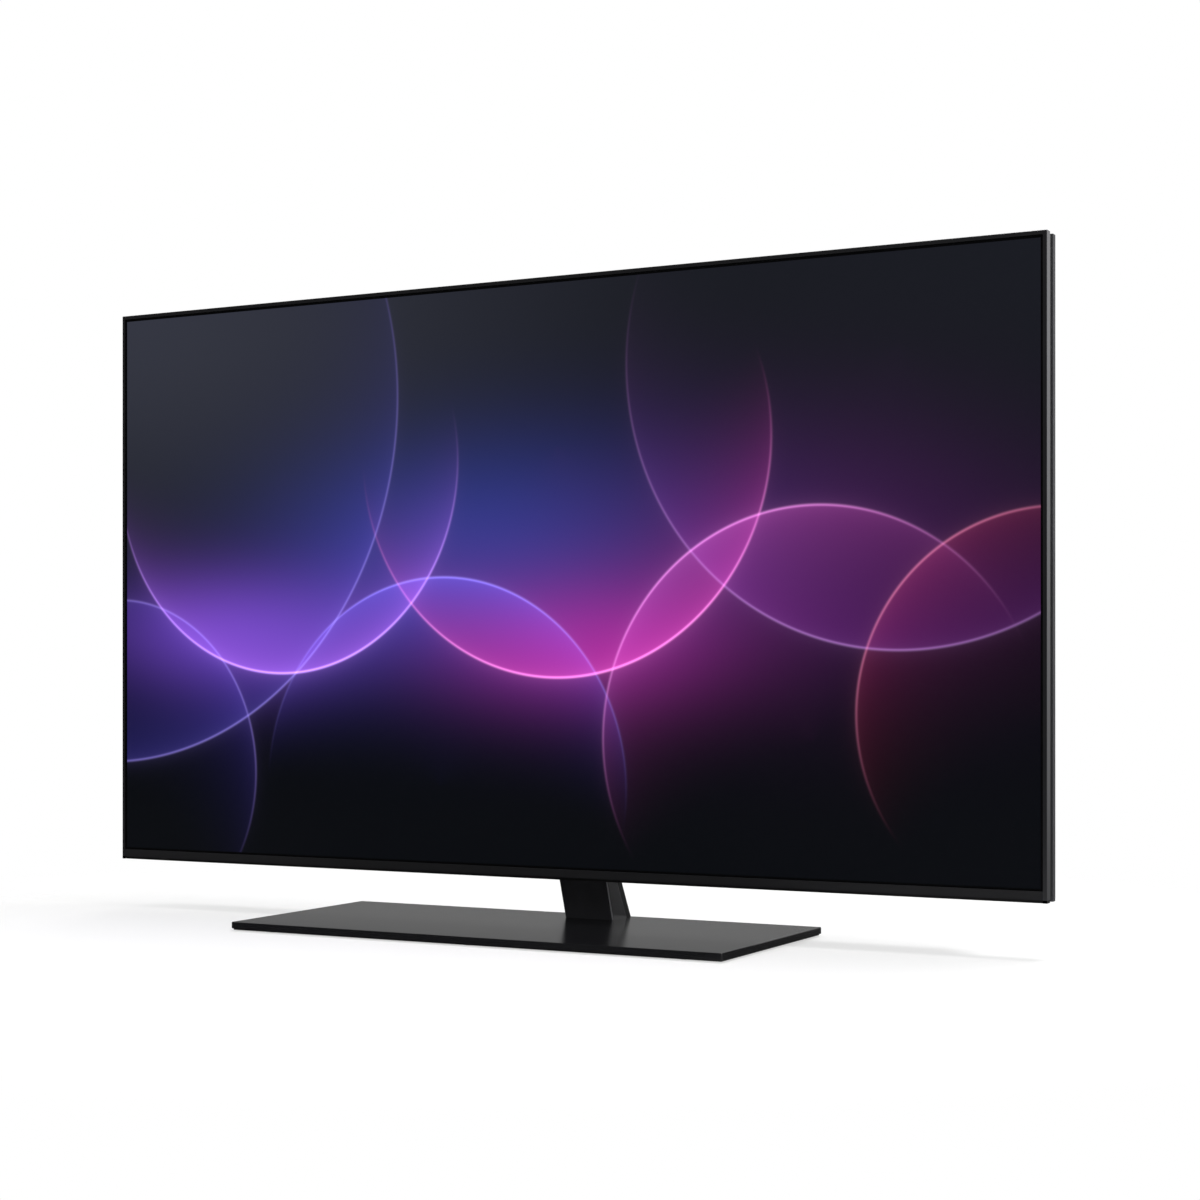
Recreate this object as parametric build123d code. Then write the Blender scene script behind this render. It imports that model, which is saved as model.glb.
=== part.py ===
from build123d import *
import os

os.makedirs("parts", exist_ok=True)

# Flat screen TV on a slab stand whose neck stands to the right of the middle, in millimetres
# X runs to the right seen from the front, Y to the rear and Z up from the shelf
# The origin is the middle of the base, on the shelf

# Driving dimensions
active_width = 1209.6
active_height = 680.4
side_border = 7.0
top_border = 7.5
bottom_border = 15.0
shelf_to_screen = 61.5
front_to_base_rear = 112.0
frame_depth = 11.5
band_depth = 23.0
edge_depth = 35.5
housing_depth = 82.0
housing_inset = 71.8
housing_foot = 10.0
housing_taper = 35.0
vesa_width = 400.0
vesa_height = 200.0
vesa_lift = 170.0
base_width = 631.0
base_depth = 276.0
base_height = 10.5
neck_width = 64.0
neck_offset = 39.0

# Clearances that every piece shares
fit_gap = 0.3
overrun = 6.0

# Places that follow from the driving dimensions
half_width = active_width / 2 + side_border
low = shelf_to_screen
active_low = low + bottom_border
active_high = active_low + active_height
high = active_high + top_border
front = base_depth / 2 - front_to_base_rear
housing_half_width = half_width - housing_inset


def block(x0, x1, y0, y1, z0, z1):
    """A box between two corners."""
    box = Box(x1 - x0, y1 - y0, z1 - z0, align=(Align.MIN, Align.MIN, Align.MIN))
    return Pos(x0, y0, z0) * box


def rearward(x, y, z):
    """A place whose local Z looks to the rear."""
    return Location((x, y, z), (-90, 0, 0))


def rightward(x, y, z):
    """A place whose local Z looks to the right."""
    return Location((x, y, z), (0, 90, 0))


def rod(place, radius, length):
    """A round bar that starts at a place and runs along its local Z."""
    return place * Cylinder(radius, length, align=(Align.CENTER, Align.CENTER, Align.MIN))


def side_profile(x0, x1, points):
    """A profile of (y, z) points, carried from x0 to x1."""
    outline = make_face(Polyline(*[(x0, y, z) for y, z in points], close=True))
    return extrude(outline, x1 - x0, dir=(1, 0, 0))


def mirrored(shape):
    """A shape's twin on the other side of the middle."""
    return mirror(shape, Plane.YZ)


def save(name, *shapes):
    """Writes one sub-part, which may be a group of separate solids."""
    solids = [solid for shape in shapes for solid in shape.solids()]
    export_step(Compound(children=solids), f"parts/{name}.step")


# Metal frame: an open ring with a side wall and a front lip, cut into three mitred extrusions
frame_wall = 1.6
lip_width = 4.4
lip_thickness = 1.2
frame_edge = 0.4
mitre_reach = 3 * lip_width

ring_body = block(-half_width, half_width, front, front + frame_depth, low, high)
ring_body = chamfer(ring_body.faces().sort_by(Axis.Y)[0].edges(), frame_edge)
wall_inner = half_width - frame_wall
lip_inner = half_width - lip_width
ring_body -= block(
    -wall_inner, wall_inner,
    front + lip_thickness, front + frame_depth + overrun,
    low - overrun, high - frame_wall,
)
ring_body -= block(
    -lip_inner, lip_inner,
    front - overrun, front + frame_depth,
    low - overrun, high - lip_width,
)
mitre_x = half_width - mitre_reach
mitre_z = high - mitre_reach
mitre_outline = make_face(Polyline(
    (-half_width - overrun, front, high + overrun),
    (half_width + overrun, front, high + overrun),
    (mitre_x, front, mitre_z),
    (-mitre_x, front, mitre_z),
    close=True,
))
mitre_prism = extrude(mitre_outline, frame_depth, dir=(0, 1, 0))
frame_legs = (ring_body - mitre_prism).solids().sort_by(Axis.X)
save("frame_top", ring_body & mitre_prism)
save("frame_left", frame_legs[0])
save("frame_right", frame_legs[-1])

# LCD cell: glass whose black border is partly covered by the lip
cell_gap = 0.8
cell_thickness = 1.4
black_matrix = side_border - lip_width
cell_overlap = lip_width - frame_wall - cell_gap
cell_front = front + lip_thickness
cell_rear = cell_front + cell_thickness
cell_half = wall_inner - cell_gap
cell_low = active_low - black_matrix - cell_overlap
cell_high = high - frame_wall - cell_gap
save("lcd_cell", block(-cell_half, cell_half, cell_front, cell_rear, cell_low, cell_high))

# Lower trim: a folded profile with a stepped face, between the side lips
trim_height = bottom_border - black_matrix
trim_wall = lip_thickness
trim_step_height = 3.0
trim_step_depth = 2.0
trim_step_top = low + trim_step_height + trim_wall
trim_rear_face = front + trim_step_depth + trim_wall
trim_profile = side_profile(-lip_inner, lip_inner, [
    (front, low + trim_step_height),
    (front, low + trim_height),
    (front + trim_wall, low + trim_height),
    (front + trim_wall, trim_step_top),
    (trim_rear_face, trim_step_top),
    (trim_rear_face, low + trim_wall),
    (front + frame_depth, low + trim_wall),
    (front + frame_depth, low),
    (front + trim_step_depth, low),
    (front + trim_step_depth, low + trim_step_height),
])
window_half = 15.0
window_slot = block(
    -window_half, window_half,
    front + trim_step_depth - overrun, trim_rear_face + overrun,
    low + trim_wall, low + trim_step_height,
)
save("bottom_trim", trim_profile - window_slot)

# Mid frame: a plastic ring that carries the cell in front and the optical sheets behind
mid_gap = 0.2
mid_wall = 2.0
ledge_thickness = 2.0
ledge_margin = 0.4
mid_half = wall_inner - mid_gap
mid_low = low + trim_wall + 2 * fit_gap
mid_high = high - frame_wall - mid_gap
ledge_front = cell_rear
ledge_rear = ledge_front + ledge_thickness
ledge_half = active_width / 2 + ledge_margin
band_rear = front + band_depth
mid_frame = block(-mid_half, mid_half, ledge_front, band_rear, mid_low, mid_high)
mid_frame -= block(
    -ledge_half, ledge_half,
    ledge_front - overrun, ledge_rear + overrun,
    active_low - ledge_margin, active_high + ledge_margin,
)
mid_frame -= block(
    -mid_half + mid_wall, mid_half - mid_wall,
    ledge_rear, band_rear + overrun,
    mid_low + mid_wall, mid_high - mid_wall,
)
mid_frame -= block(
    -mid_half - overrun, mid_half + overrun,
    ledge_front - overrun, trim_rear_face + fit_gap,
    mid_low - overrun, trim_step_top + fit_gap,
)

# Corner brackets: four angles inside the corners of the metal frame
bracket_leg = 24.0
bracket_wall = 1.2
bracket_front = front + trim_step_depth + 2 * trim_wall
bracket_rear = front + frame_depth - trim_wall


def corner_bracket(z_corner, up, gap):
    """An angle in the right-hand corner at a height, its upright leg pointing up (1) or down (-1)."""
    inner = wall_inner - bracket_wall - gap
    z_leg = z_corner + up * (bracket_leg + gap)
    z_flat = z_corner + up * (bracket_wall + gap)
    reach = wall_inner - bracket_leg - gap
    y0 = bracket_front - gap
    y1 = bracket_rear + gap
    upright = block(inner, wall_inner, y0, y1, min(z_corner, z_leg), max(z_corner, z_leg))
    flat = block(reach, wall_inner, y0, y1, min(z_corner, z_flat), max(z_corner, z_flat))
    return upright + flat


bracket_corners = [(low + trim_wall, 1), (high - frame_wall, -1)]
brackets = [corner_bracket(z, up, 0) for z, up in bracket_corners]
save("corner_brackets", *brackets, *[mirrored(shape) for shape in brackets])
for z, up in bracket_corners:
    recess = corner_bracket(z, up, fit_gap)
    mid_frame -= recess
    mid_frame -= mirrored(recess)

# Optical sheets: three prism films as one sheet, then the diffuser plate
sheet_gap = 0.6
film_thickness = 0.6
diffuser_thickness = 1.5
sheet_half = mid_half - mid_wall - sheet_gap
sheet_lift = 8.0
sheet_low = low + sheet_lift
sheet_high = mid_high - mid_wall - sheet_gap
film_rear = ledge_rear + film_thickness
diffuser_rear = film_rear + diffuser_thickness
save("prism_sheets", block(-sheet_half, sheet_half, ledge_rear, film_rear, sheet_low, sheet_high))
save("diffuser_plate", block(-sheet_half, sheet_half, film_rear, diffuser_rear, sheet_low, sheet_high))


def rectangle_at(half, z0, z1, y):
    """An upright rectangle, the section of a tray at one depth."""
    return rearward(0, y, (z0 + z1) / 2) * Rectangle(2 * half, z1 - z0)


# Back chassis: a pressed steel tray with a rim flange and sloped walls
chassis_wall = 0.8
flange_width = 14.0
tray_slope = 30.0
chassis_depth = 26.0
floor_front = front + chassis_depth
floor_rear = floor_front + chassis_wall
flange_rear = diffuser_rear + chassis_wall
mouth_half = sheet_half - flange_width
mouth_low = sheet_low + flange_width
mouth_high = sheet_high - flange_width
floor_half = mouth_half - tray_slope
floor_low = mouth_low + tray_slope
floor_high = mouth_high - tray_slope
tray_outer = loft([
    rectangle_at(
        mouth_half + chassis_wall, mouth_low - chassis_wall, mouth_high + chassis_wall, diffuser_rear
    ),
    rectangle_at(floor_half + chassis_wall, floor_low - chassis_wall, floor_high + chassis_wall, floor_rear),
])
tray_inner = loft([
    rectangle_at(mouth_half, mouth_low, mouth_high, diffuser_rear),
    rectangle_at(floor_half, floor_low, floor_high, floor_front),
])
chassis = block(-sheet_half, sheet_half, diffuser_rear, flange_rear, sheet_low, sheet_high)
chassis = chassis + tray_outer - tray_inner

# Reflector sheet: lies in the tray, with a slot for each LED bar
reflector_thickness = 0.5
bar_count = 4
bar_height = 14.0
bar_thickness = 1.0
bar_margin = 12.0
bar_front = floor_front - bar_thickness
bar_half = floor_half - bar_margin
row_pitch = (floor_high - floor_low) / bar_count
first_row = floor_low + row_pitch / 2
bar_rows = [first_row + row_pitch * row for row in range(bar_count)]
sheet_slack = 0.6
lining_front = diffuser_rear + fit_gap
reflector_outer = loft([
    rectangle_at(mouth_half - sheet_slack, mouth_low + sheet_slack, mouth_high - sheet_slack, lining_front),
    rectangle_at(floor_half - sheet_slack, floor_low + sheet_slack, floor_high - sheet_slack, floor_front),
])
lining = sheet_slack + reflector_thickness
reflector_inner = loft([
    rectangle_at(mouth_half - lining, mouth_low + lining, mouth_high - lining, lining_front),
    rectangle_at(
        floor_half - lining, floor_low + lining, floor_high - lining, floor_front - reflector_thickness
    ),
])
reflector = reflector_outer - reflector_inner
for z in bar_rows:
    reflector -= block(
        -bar_half - fit_gap, bar_half + fit_gap,
        bar_front - overrun, floor_front + overrun,
        z - bar_height / 2 - fit_gap, z + bar_height / 2 + fit_gap,
    )
save("reflector_sheet", reflector)

# LED bars and the lenses that spread their light
lens_count = 8
lens_radius = 7.5
lens_rim = 1.5
lens_height = 6.0
lens_top_radius = 3.0
lens_dimple = 1.5
lens_pitch = 2 * bar_half / lens_count
lens_start = lens_pitch / 2 - bar_half
save("led_bars", *[
    block(-bar_half, bar_half, bar_front, floor_front, z - bar_height / 2, z + bar_height / 2)
    for z in bar_rows
])
lens_profile = make_face(Polyline(
    (0, 0, 0),
    (lens_radius - lens_rim, 0, 0),
    (lens_radius, 0, lens_rim),
    (lens_top_radius, 0, lens_height),
    (0, 0, lens_height - lens_dimple),
    close=True,
))
lens = revolve(lens_profile, Axis.Z)
save("led_lenses", *[
    Location((lens_start + lens_pitch * column, bar_front, z), (90, 0, 0)) * lens
    for z in bar_rows
    for column in range(lens_count)
])

# Source boards: two strips along the cell's lower edge, lying on the mid frame's floor
board_thickness = 1.6
source_start = 40.0
source_margin = 91.8
source_length = half_width - source_start - source_margin
source_front = 9.0
source_width = 14.0
source_low = mid_low + mid_wall
source_high = source_low + board_thickness
source_y = front + source_front
source_boards = block(
    source_start, source_start + source_length,
    source_y, source_y + source_width,
    source_low, source_high,
)
save("source_boards", source_boards, mirrored(source_boards))

# Panel ribbons: from the cell's lower edge, through the mid frame, onto the source boards
ribbon_count = 4
ribbon_width = 36.0
ribbon_thickness = 0.2
ribbon_bond = 3.0
ribbon_y = cell_front + cell_thickness / 2
ribbon_pitch = source_length / ribbon_count
ribbon_start = source_start + (ribbon_pitch - ribbon_width) / 2
ribbons = []
for index in range(ribbon_count):
    ribbon_x = ribbon_start + ribbon_pitch * index
    tab = block(
        ribbon_x, ribbon_x + ribbon_width,
        ribbon_y, ribbon_y + ribbon_thickness,
        source_high, cell_low,
    )
    run = block(
        ribbon_x, ribbon_x + ribbon_width,
        ribbon_y, source_y + ribbon_bond,
        source_high, source_high + ribbon_thickness,
    )
    ribbon = tab + run
    ribbons += [ribbon, mirrored(ribbon)]
    slot = block(
        ribbon_x - fit_gap, ribbon_x + ribbon_width + fit_gap,
        ledge_front - overrun, ledge_rear + fit_gap,
        source_high - fit_gap, source_high + ribbon_thickness + fit_gap,
    )
    mid_frame -= slot
    mid_frame -= mirrored(slot)
save("panel_ribbons", *ribbons)

# Sensor window: a smoked strip in the black step of the trim
window_flange = 3.0
window_lens = block(
    -window_half + fit_gap, window_half - fit_gap,
    front + trim_step_depth + fit_gap, trim_rear_face,
    low + trim_wall + mid_gap, low + trim_step_height - mid_gap,
)
window_rear = block(
    -window_half - window_flange, window_half + window_flange,
    trim_rear_face, trim_rear_face + fit_gap,
    low + trim_wall + mid_gap, low + trim_step_height + mid_gap,
)
save("sensor_window", window_lens + window_rear)

# Sensor board: stands on two pads of the mid frame, with the receiver behind the window
pad_height = 2.4
pad_radius = 3.0
pad_spread = 22.0
sensor_half = 30.0
sensor_front = front + 2 * trim_wall + trim_step_depth + fit_gap
sensor_rear = front + edge_depth - 2 * board_thickness
sensor_low = mid_low + mid_wall + pad_height
receiver_half = 4.0
receiver_depth = 5.0
receiver_gap = 0.4
mid_frame -= block(
    -window_half, window_half,
    ledge_front - overrun, sensor_front + receiver_depth + 2 * fit_gap,
    mid_low - overrun, mid_low + mid_wall + overrun / 2,
)
pad_y = (sensor_front + band_rear) / 2
for side in (-1, 1):
    mid_frame += rod(Pos(side * pad_spread, pad_y, mid_low + mid_wall), pad_radius, pad_height)
save("mid_frame", mid_frame)
receiver = block(
    -receiver_half, receiver_half,
    sensor_front, sensor_front + receiver_depth,
    mid_low + receiver_gap, sensor_low,
)
sensor_board = block(
    -sensor_half, sensor_half, sensor_front, sensor_rear, sensor_low, sensor_low + board_thickness
)
switch_half = 3.0
switch_height = 1.8
key_y = front + (band_depth + edge_depth) / 2
key_switch = block(
    -switch_half, switch_half,
    key_y - switch_half, key_y + switch_half,
    sensor_low - switch_height, sensor_low,
)
save("sensor_board", sensor_board + receiver + key_switch)

# Power key: slides up in the cover's lower wall against the switch
cover_wall = 2.5
key_half_length = 6.0
key_half_width = 2.6
key_proud = 1.0
key_flange = 1.0
key_travel = 0.7
key_stem_radius = 1.5
key_seat = low + cover_wall + fit_gap
key_top = sensor_low - switch_height - key_travel - fit_gap / 3
key_cap = block(
    -key_half_length, key_half_length,
    key_y - key_half_width, key_y + key_half_width,
    low - key_proud, key_seat + key_flange / 2,
)
key_collar = block(
    -key_half_length - key_flange, key_half_length + key_flange,
    key_y - key_half_width - key_flange, key_y + key_half_width + key_flange,
    key_seat, key_seat + key_flange / 2,
)
key_stem = rod(Pos(0, key_y, key_seat), key_stem_radius, key_top - key_seat)
save("power_key", key_cap + key_collar + key_stem)

# Rails: two steel channels on the chassis that carry the wall-mount nuts
rail_width = 44.0
rail_depth = 14.0
rail_wall = 1.5
rail_lift = 60.0
rail_low = low + rail_lift
rail_end = 70.0
rail_high = low + vesa_lift + vesa_height + rail_end
rail_x = vesa_width / 2
rail = block(
    rail_x - rail_width / 2, rail_x + rail_width / 2,
    floor_rear, floor_rear + rail_depth,
    rail_low, rail_high,
)
rail -= block(
    rail_x - rail_width / 2 + rail_wall, rail_x + rail_width / 2 - rail_wall,
    floor_rear - overrun, floor_rear + rail_depth - rail_wall,
    rail_low - overrun, rail_high + overrun,
)
save("mount_rails", rail, mirrored(rail))

# Wall-mount nuts: four M6 columns from the rails to just under the cover's rear face
nut_radius = 7.5
nut_bore = 3.0
nut_recess = 1.0
nut_front = floor_rear + rail_depth
cover_rear = front + housing_depth
nut_length = cover_rear - nut_recess - nut_front
vesa_rows = [low + vesa_lift, low + vesa_lift + vesa_height]
nuts = []
for z in vesa_rows:
    column = rod(rearward(rail_x, nut_front, z), nut_radius, nut_length)
    column -= rod(rearward(rail_x, nut_front + rail_wall, z), nut_bore, nut_length)
    nuts += [column, mirrored(column)]
save("vesa_nuts", *nuts)

# Neck: one raked outline seen from the side, shared by the core and its two covers
foot_margin = 2.0
foot_depth = 48.0
foot_rear = base_depth / 2 - foot_margin
foot_front = foot_rear - foot_depth
waist_depth = 37.0
neck_head = 108.0
waist_rear = cover_rear - fit_gap
waist_front = waist_rear - waist_depth
head_top = low + neck_head


def neck_outline(inset, z_foot):
    """The neck seen from the side, drawn in by an inset, down to a height."""
    lean_front = (foot_front - waist_front) / (low - base_height)
    lean_rear = (foot_rear - waist_rear) / (low - base_height)
    drop = base_height - z_foot
    return [
        (foot_front + inset + lean_front * drop, z_foot),
        (foot_rear - inset + lean_rear * drop, z_foot),
        (waist_rear - inset, low),
        (waist_rear - inset, head_top - inset),
        (waist_front + inset, head_top - inset),
        (waist_front + inset, low),
    ]


# Stand bracket: takes the neck's screws and spreads the load over the chassis
bracket_half = 62.0
bracket_plate = 2.8
bracket_foot = 15.0
bracket_lift = 18.0
bracket_top = 125.0
pocket_gap = 0.5
pocket_front = waist_front - pocket_gap
pocket_half = neck_width / 2 + pocket_gap
plate_rear = pocket_front - cover_wall
plate_front = plate_rear - bracket_plate
leg_low = floor_low + bracket_foot
stand_bracket = block(
    -bracket_half, bracket_half, plate_front, plate_rear, low + bracket_lift, low + bracket_top
)
for side in (-1, 1):
    leg = block(
        bracket_half - bracket_plate, bracket_half, floor_rear, plate_rear, leg_low, low + bracket_top
    )
    foot = block(
        bracket_half - bracket_plate, bracket_half + bracket_foot,
        floor_rear, floor_rear + bracket_plate,
        leg_low, low + bracket_top,
    )
    stand_bracket += leg + foot if side > 0 else mirrored(leg + foot)
stand_bracket = Pos(neck_offset, 0, 0) * stand_bracket

# Neck screws: four through the head into the stand bracket
neck_screw_radius = 2.4
neck_head_radius = 4.5
neck_head_height = 3.0
neck_screw_spread = 18.0
neck_screw_columns = [neck_offset - neck_screw_spread, neck_offset + neck_screw_spread]
neck_screw_rows = [low + neck_head * share for share in (0.4, 0.8)]
neck_screw_depth = 9.0
neck_seat = waist_front + neck_screw_depth
neck_screws = []
neck_holes = []
for z in neck_screw_rows:
    for x in neck_screw_columns:
        shank = rod(rearward(x, plate_front, z), neck_screw_radius, neck_seat - plate_front)
        screw_head = rod(rearward(x, neck_seat, z), neck_head_radius, neck_head_height)
        neck_screws.append(shank + screw_head)
        neck_holes.append(
            rod(rearward(x, plate_front - overrun, z), neck_screw_radius + mid_gap, housing_depth)
        )
        neck_holes.append(rod(rearward(x, neck_seat, z), neck_head_radius + fit_gap, housing_depth))
save("neck_screws", *neck_screws)
bracket_holes = [
    rod(rearward(x, plate_front - overrun, z), neck_screw_radius + mid_gap, neck_seat - plate_front + overrun)
    for x in neck_screw_columns
    for z in neck_screw_rows
]
for hole in bracket_holes:
    stand_bracket -= hole
save("stand_bracket", stand_bracket)

# Base: a thin shell over a steel plate, closed by a bottom cover with rubber feet
shell_wall = 1.6
shell_low = 3.2
shell_corner = 3.0
shell_edge = 0.5
plate_thickness = 4.0
foot_height = 1.4
foot_radius = 11.0
cover_inset = shell_wall + 2 * fit_gap
plate_high = base_height - shell_wall
plate_low = plate_high - plate_thickness


def slab(inset, z0, z1):
    """A flat slab with the base's outline, drawn in by an inset."""
    corner = max(shell_corner - inset, shell_edge)
    outline = RectangleRounded(base_width - 2 * inset, base_depth - 2 * inset, corner)
    return Pos(0, 0, z0) * extrude(outline, z1 - z0)


base_shell = slab(0, shell_low, base_height)
base_shell = chamfer(base_shell.faces().sort_by(Axis.Z)[-1].edges(), shell_edge)
base_shell -= slab(shell_wall, shell_low - overrun, plate_high)
base_plate = slab(cover_inset, plate_low, plate_high)
bottom_cover = slab(cover_inset, foot_height, plate_low)
bottom_cover -= slab(cover_inset + shell_wall, foot_height + shell_wall, plate_low + overrun)
rest_share = 0.42
feet = []
for x in (-base_width * rest_share, 0, base_width * rest_share):
    for y in (-base_depth * rest_share, base_depth * rest_share):
        feet.append(rod(Pos(x, y, 0), foot_radius, foot_height))
save("base_feet", *feet)

# Neck core: stands on the base plate and ends in the head
neck_wall = 2.2
core_inset = neck_wall + fit_gap
core_half = neck_width / 2 - core_inset
core_left = neck_offset - core_half
core_right = neck_offset + core_half
neck_core = side_profile(core_left, core_right, neck_outline(core_inset, plate_high))
for hole in neck_holes:
    neck_core -= hole
core_passage = side_profile(
    core_left - fit_gap, core_right + fit_gap, neck_outline(core_inset - fit_gap, plate_high - overrun)
)
base_shell -= core_passage

# Base screws: four up through the plate into the neck's foot
base_screw_radius = 2.4
base_head_radius = 4.5
base_head_height = plate_low - foot_height - shell_wall - fit_gap
base_screw_spread = 18.0
base_screw_length = 16.0
core_foot_front = foot_front + core_inset
core_foot_rear = foot_rear - core_inset
base_screws = []
for share in (0.25, 0.75):
    y = core_foot_front + share * (core_foot_rear - core_foot_front)
    for x in (neck_offset - base_screw_spread, neck_offset + base_screw_spread):
        shank = rod(Pos(x, y, plate_low), base_screw_radius, base_screw_length)
        screw_head = rod(Pos(x, y, plate_low - base_head_height), base_head_radius, base_head_height)
        base_screws.append(shank + screw_head)
        passage = rod(
            Pos(x, y, plate_low - overrun), base_screw_radius + mid_gap, base_screw_length + 2 * overrun
        )
        base_plate -= passage
        neck_core -= passage
save("base_screws", *base_screws)
save("neck_core", neck_core)
save("base_shell", base_shell)
save("base_plate", base_plate)
save("base_bottom_cover", bottom_cover)

# Neck covers: a front cover that wraps the sides and a rear cover behind a raked parting line
parting_depth = 11.0
neck_edge = 3.5
neck_left = neck_offset - neck_width / 2
neck_right = neck_offset + neck_width / 2
neck_solid = side_profile(neck_left, neck_right, neck_outline(0, base_height))
for index in (0, -1):
    side_face = neck_solid.faces().sort_by(Axis.X)[index]
    neck_solid = fillet(side_face.edges().sort_by(Axis.Y)[0:2], neck_edge)
neck_hollow = side_profile(
    core_left - fit_gap, core_right + fit_gap, neck_outline(neck_wall, base_height - overrun)
)
parting = side_profile(neck_left - overrun, neck_right + overrun, [
    (foot_rear - parting_depth, base_height),
    (foot_rear + overrun, base_height),
    (waist_rear + overrun, low),
    (waist_rear + overrun, head_top + overrun),
    (waist_rear - parting_depth, head_top + overrun),
    (waist_rear - parting_depth, low),
])
neck_skin = neck_solid - neck_hollow
neck_front_cover = neck_skin - parting
for hole in bracket_holes:
    neck_front_cover -= hole
save("neck_front_cover", neck_front_cover)
save("neck_rear_cover", neck_skin & parting)

# Rear cover: a flat edge and a tapered housing over the lower two thirds
cover_inset_edge = fit_gap
cover_half = half_width - cover_inset_edge
cover_low = low
cover_high = high - cover_inset_edge
edge_rear = front + edge_depth
edge_round = 4.0
housing_corner = 24.0
housing_round = 4.0
foot_taper_share = 0.45
head_taper_share = 1.7
foot_rise = housing_taper * foot_taper_share
head_drop = housing_taper * head_taper_share
housing_over_nuts = 105.0
housing_head = vesa_lift + vesa_height + housing_over_nuts


def housing_section(inset, y, taper):
    """The housing's rounded section at one depth, with the taper from 0 at the edge to 1 at the rear."""
    half = housing_half_width - taper * housing_taper - inset
    z0 = low + housing_foot + taper * foot_rise + inset
    z1 = low + housing_head - taper * head_drop - inset
    return rearward(0, y, (z0 + z1) / 2) * RectangleRounded(2 * half, z1 - z0, housing_corner - inset)


edge_plate = block(-cover_half, cover_half, band_rear, edge_rear, cover_low, cover_high)
edge_plate = fillet(edge_plate.faces().sort_by(Axis.Y)[-1].edges(), edge_round)
housing = loft([housing_section(0, edge_rear - cover_wall, 0), housing_section(0, cover_rear, 1)])
housing = fillet(housing.faces().sort_by(Axis.Y)[-1].edges(), housing_round)
cavity = block(
    -cover_half + cover_wall, cover_half - cover_wall,
    band_rear - overrun, edge_rear - cover_wall,
    cover_low + cover_wall, cover_high - cover_wall,
)
cavity += loft([
    housing_section(cover_wall, edge_rear - 2 * cover_wall, 0),
    housing_section(cover_wall, cover_rear - cover_wall, 1),
])

# Terminal bay on the left and inlet bay on the right, open to the side and the rear
bay_depth = 100.0
bay_inner = housing_half_width - bay_depth
terminal_drop = 50.0
terminal_span = 210.0
inlet_drop = 20.0
inlet_span = 80.0
terminal_low = low + vesa_lift - terminal_drop
terminal_high = terminal_low + terminal_span
inlet_low = low + vesa_lift - inlet_drop
inlet_high = inlet_low + inlet_span


def bay(z0, z1, grow):
    """The right-hand bay between two heights, grown by the cover's wall where it cuts the cavity."""
    return block(
        bay_inner - grow, housing_half_width + overrun,
        edge_rear - grow, cover_rear + overrun,
        z0 - grow, z1 + grow,
    )


pocket_left = neck_offset - pocket_half
pocket_right = neck_offset + pocket_half
neck_pocket = block(
    pocket_left, pocket_right, pocket_front, cover_rear + overrun, low - overrun, head_top + pocket_gap
)
neck_pocket_wall = block(
    pocket_left - cover_wall, pocket_right + cover_wall,
    pocket_front - cover_wall, cover_rear,
    low - overrun, head_top + pocket_gap + cover_wall,
)
cavity -= mirrored(bay(terminal_low, terminal_high, cover_wall))
cavity -= bay(inlet_low, inlet_high, cover_wall)
cavity -= neck_pocket_wall
rear_cover = edge_plate + housing - cavity
rear_cover -= mirrored(bay(terminal_low, terminal_high, 0))
rear_cover -= bay(inlet_low, inlet_high, 0)
rear_cover -= neck_pocket
for hole in bracket_holes:
    rear_cover -= hole

# Holes for the wall-mount nuts and for the key
nut_clearance = 0.5
for z in vesa_rows:
    for x in (-rail_x, rail_x):
        nut_hole = rearward(x, cover_rear - cover_wall - overrun, z)
        rear_cover -= rod(nut_hole, nut_radius + nut_clearance, 3 * overrun)
rear_cover -= block(
    -key_half_length - fit_gap, key_half_length + fit_gap,
    key_y - key_half_width - fit_gap, key_y + key_half_width + fit_gap,
    low - overrun, low + cover_wall + overrun,
)

# Cover screws: pan heads sunk in the flat edge, into the chassis
screw_radius = 1.5
screw_head_radius = 3.5
screw_head_height = 1.5
screw_margin = 12.0
screw_rows = [floor_low + screw_margin, (floor_low + floor_high) / 2, floor_high - screw_margin]
screw_places = [(x, z) for x in (-floor_half + screw_margin, floor_half - screw_margin) for z in screw_rows]
screw_places += [(share * floor_half, floor_high - screw_margin) for share in (-0.5, 0, 0.5)]
boss_wall = 3.0
cover_screws = []
for x, z in screw_places:
    seat = edge_rear - screw_head_height
    boss_start = rearward(x, floor_rear + fit_gap, z)
    rear_cover += rod(boss_start, screw_radius + boss_wall, edge_rear - cover_wall - floor_rear - fit_gap)
    shank = rod(rearward(x, floor_front, z), screw_radius, seat - floor_front)
    screw_head = rod(rearward(x, seat, z), screw_head_radius, screw_head_height)
    cover_screws.append(shank + screw_head)
    rear_cover -= rod(rearward(x, floor_rear, z), screw_radius + mid_gap, edge_depth)
    rear_cover -= rod(rearward(x, seat, z), screw_head_radius + mid_gap, edge_depth)
    chassis -= rod(rearward(x, floor_front - overrun, z), screw_radius + mid_gap, 2 * overrun)
save("cover_screws", *cover_screws)
save("back_chassis", chassis)

# Circuit boards on standoffs: each with four posts and four screws
standoff_height = rail_depth
standoff_radius = 3.0
board_corner = 6.0
board_screw_radius = 1.4
board_head_radius = 2.8
board_head_height = 1.6
board_screw_length = 6.0
board_front = floor_rear + standoff_height
board_rear = board_front + board_thickness
standoffs = []
board_screws = []


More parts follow.
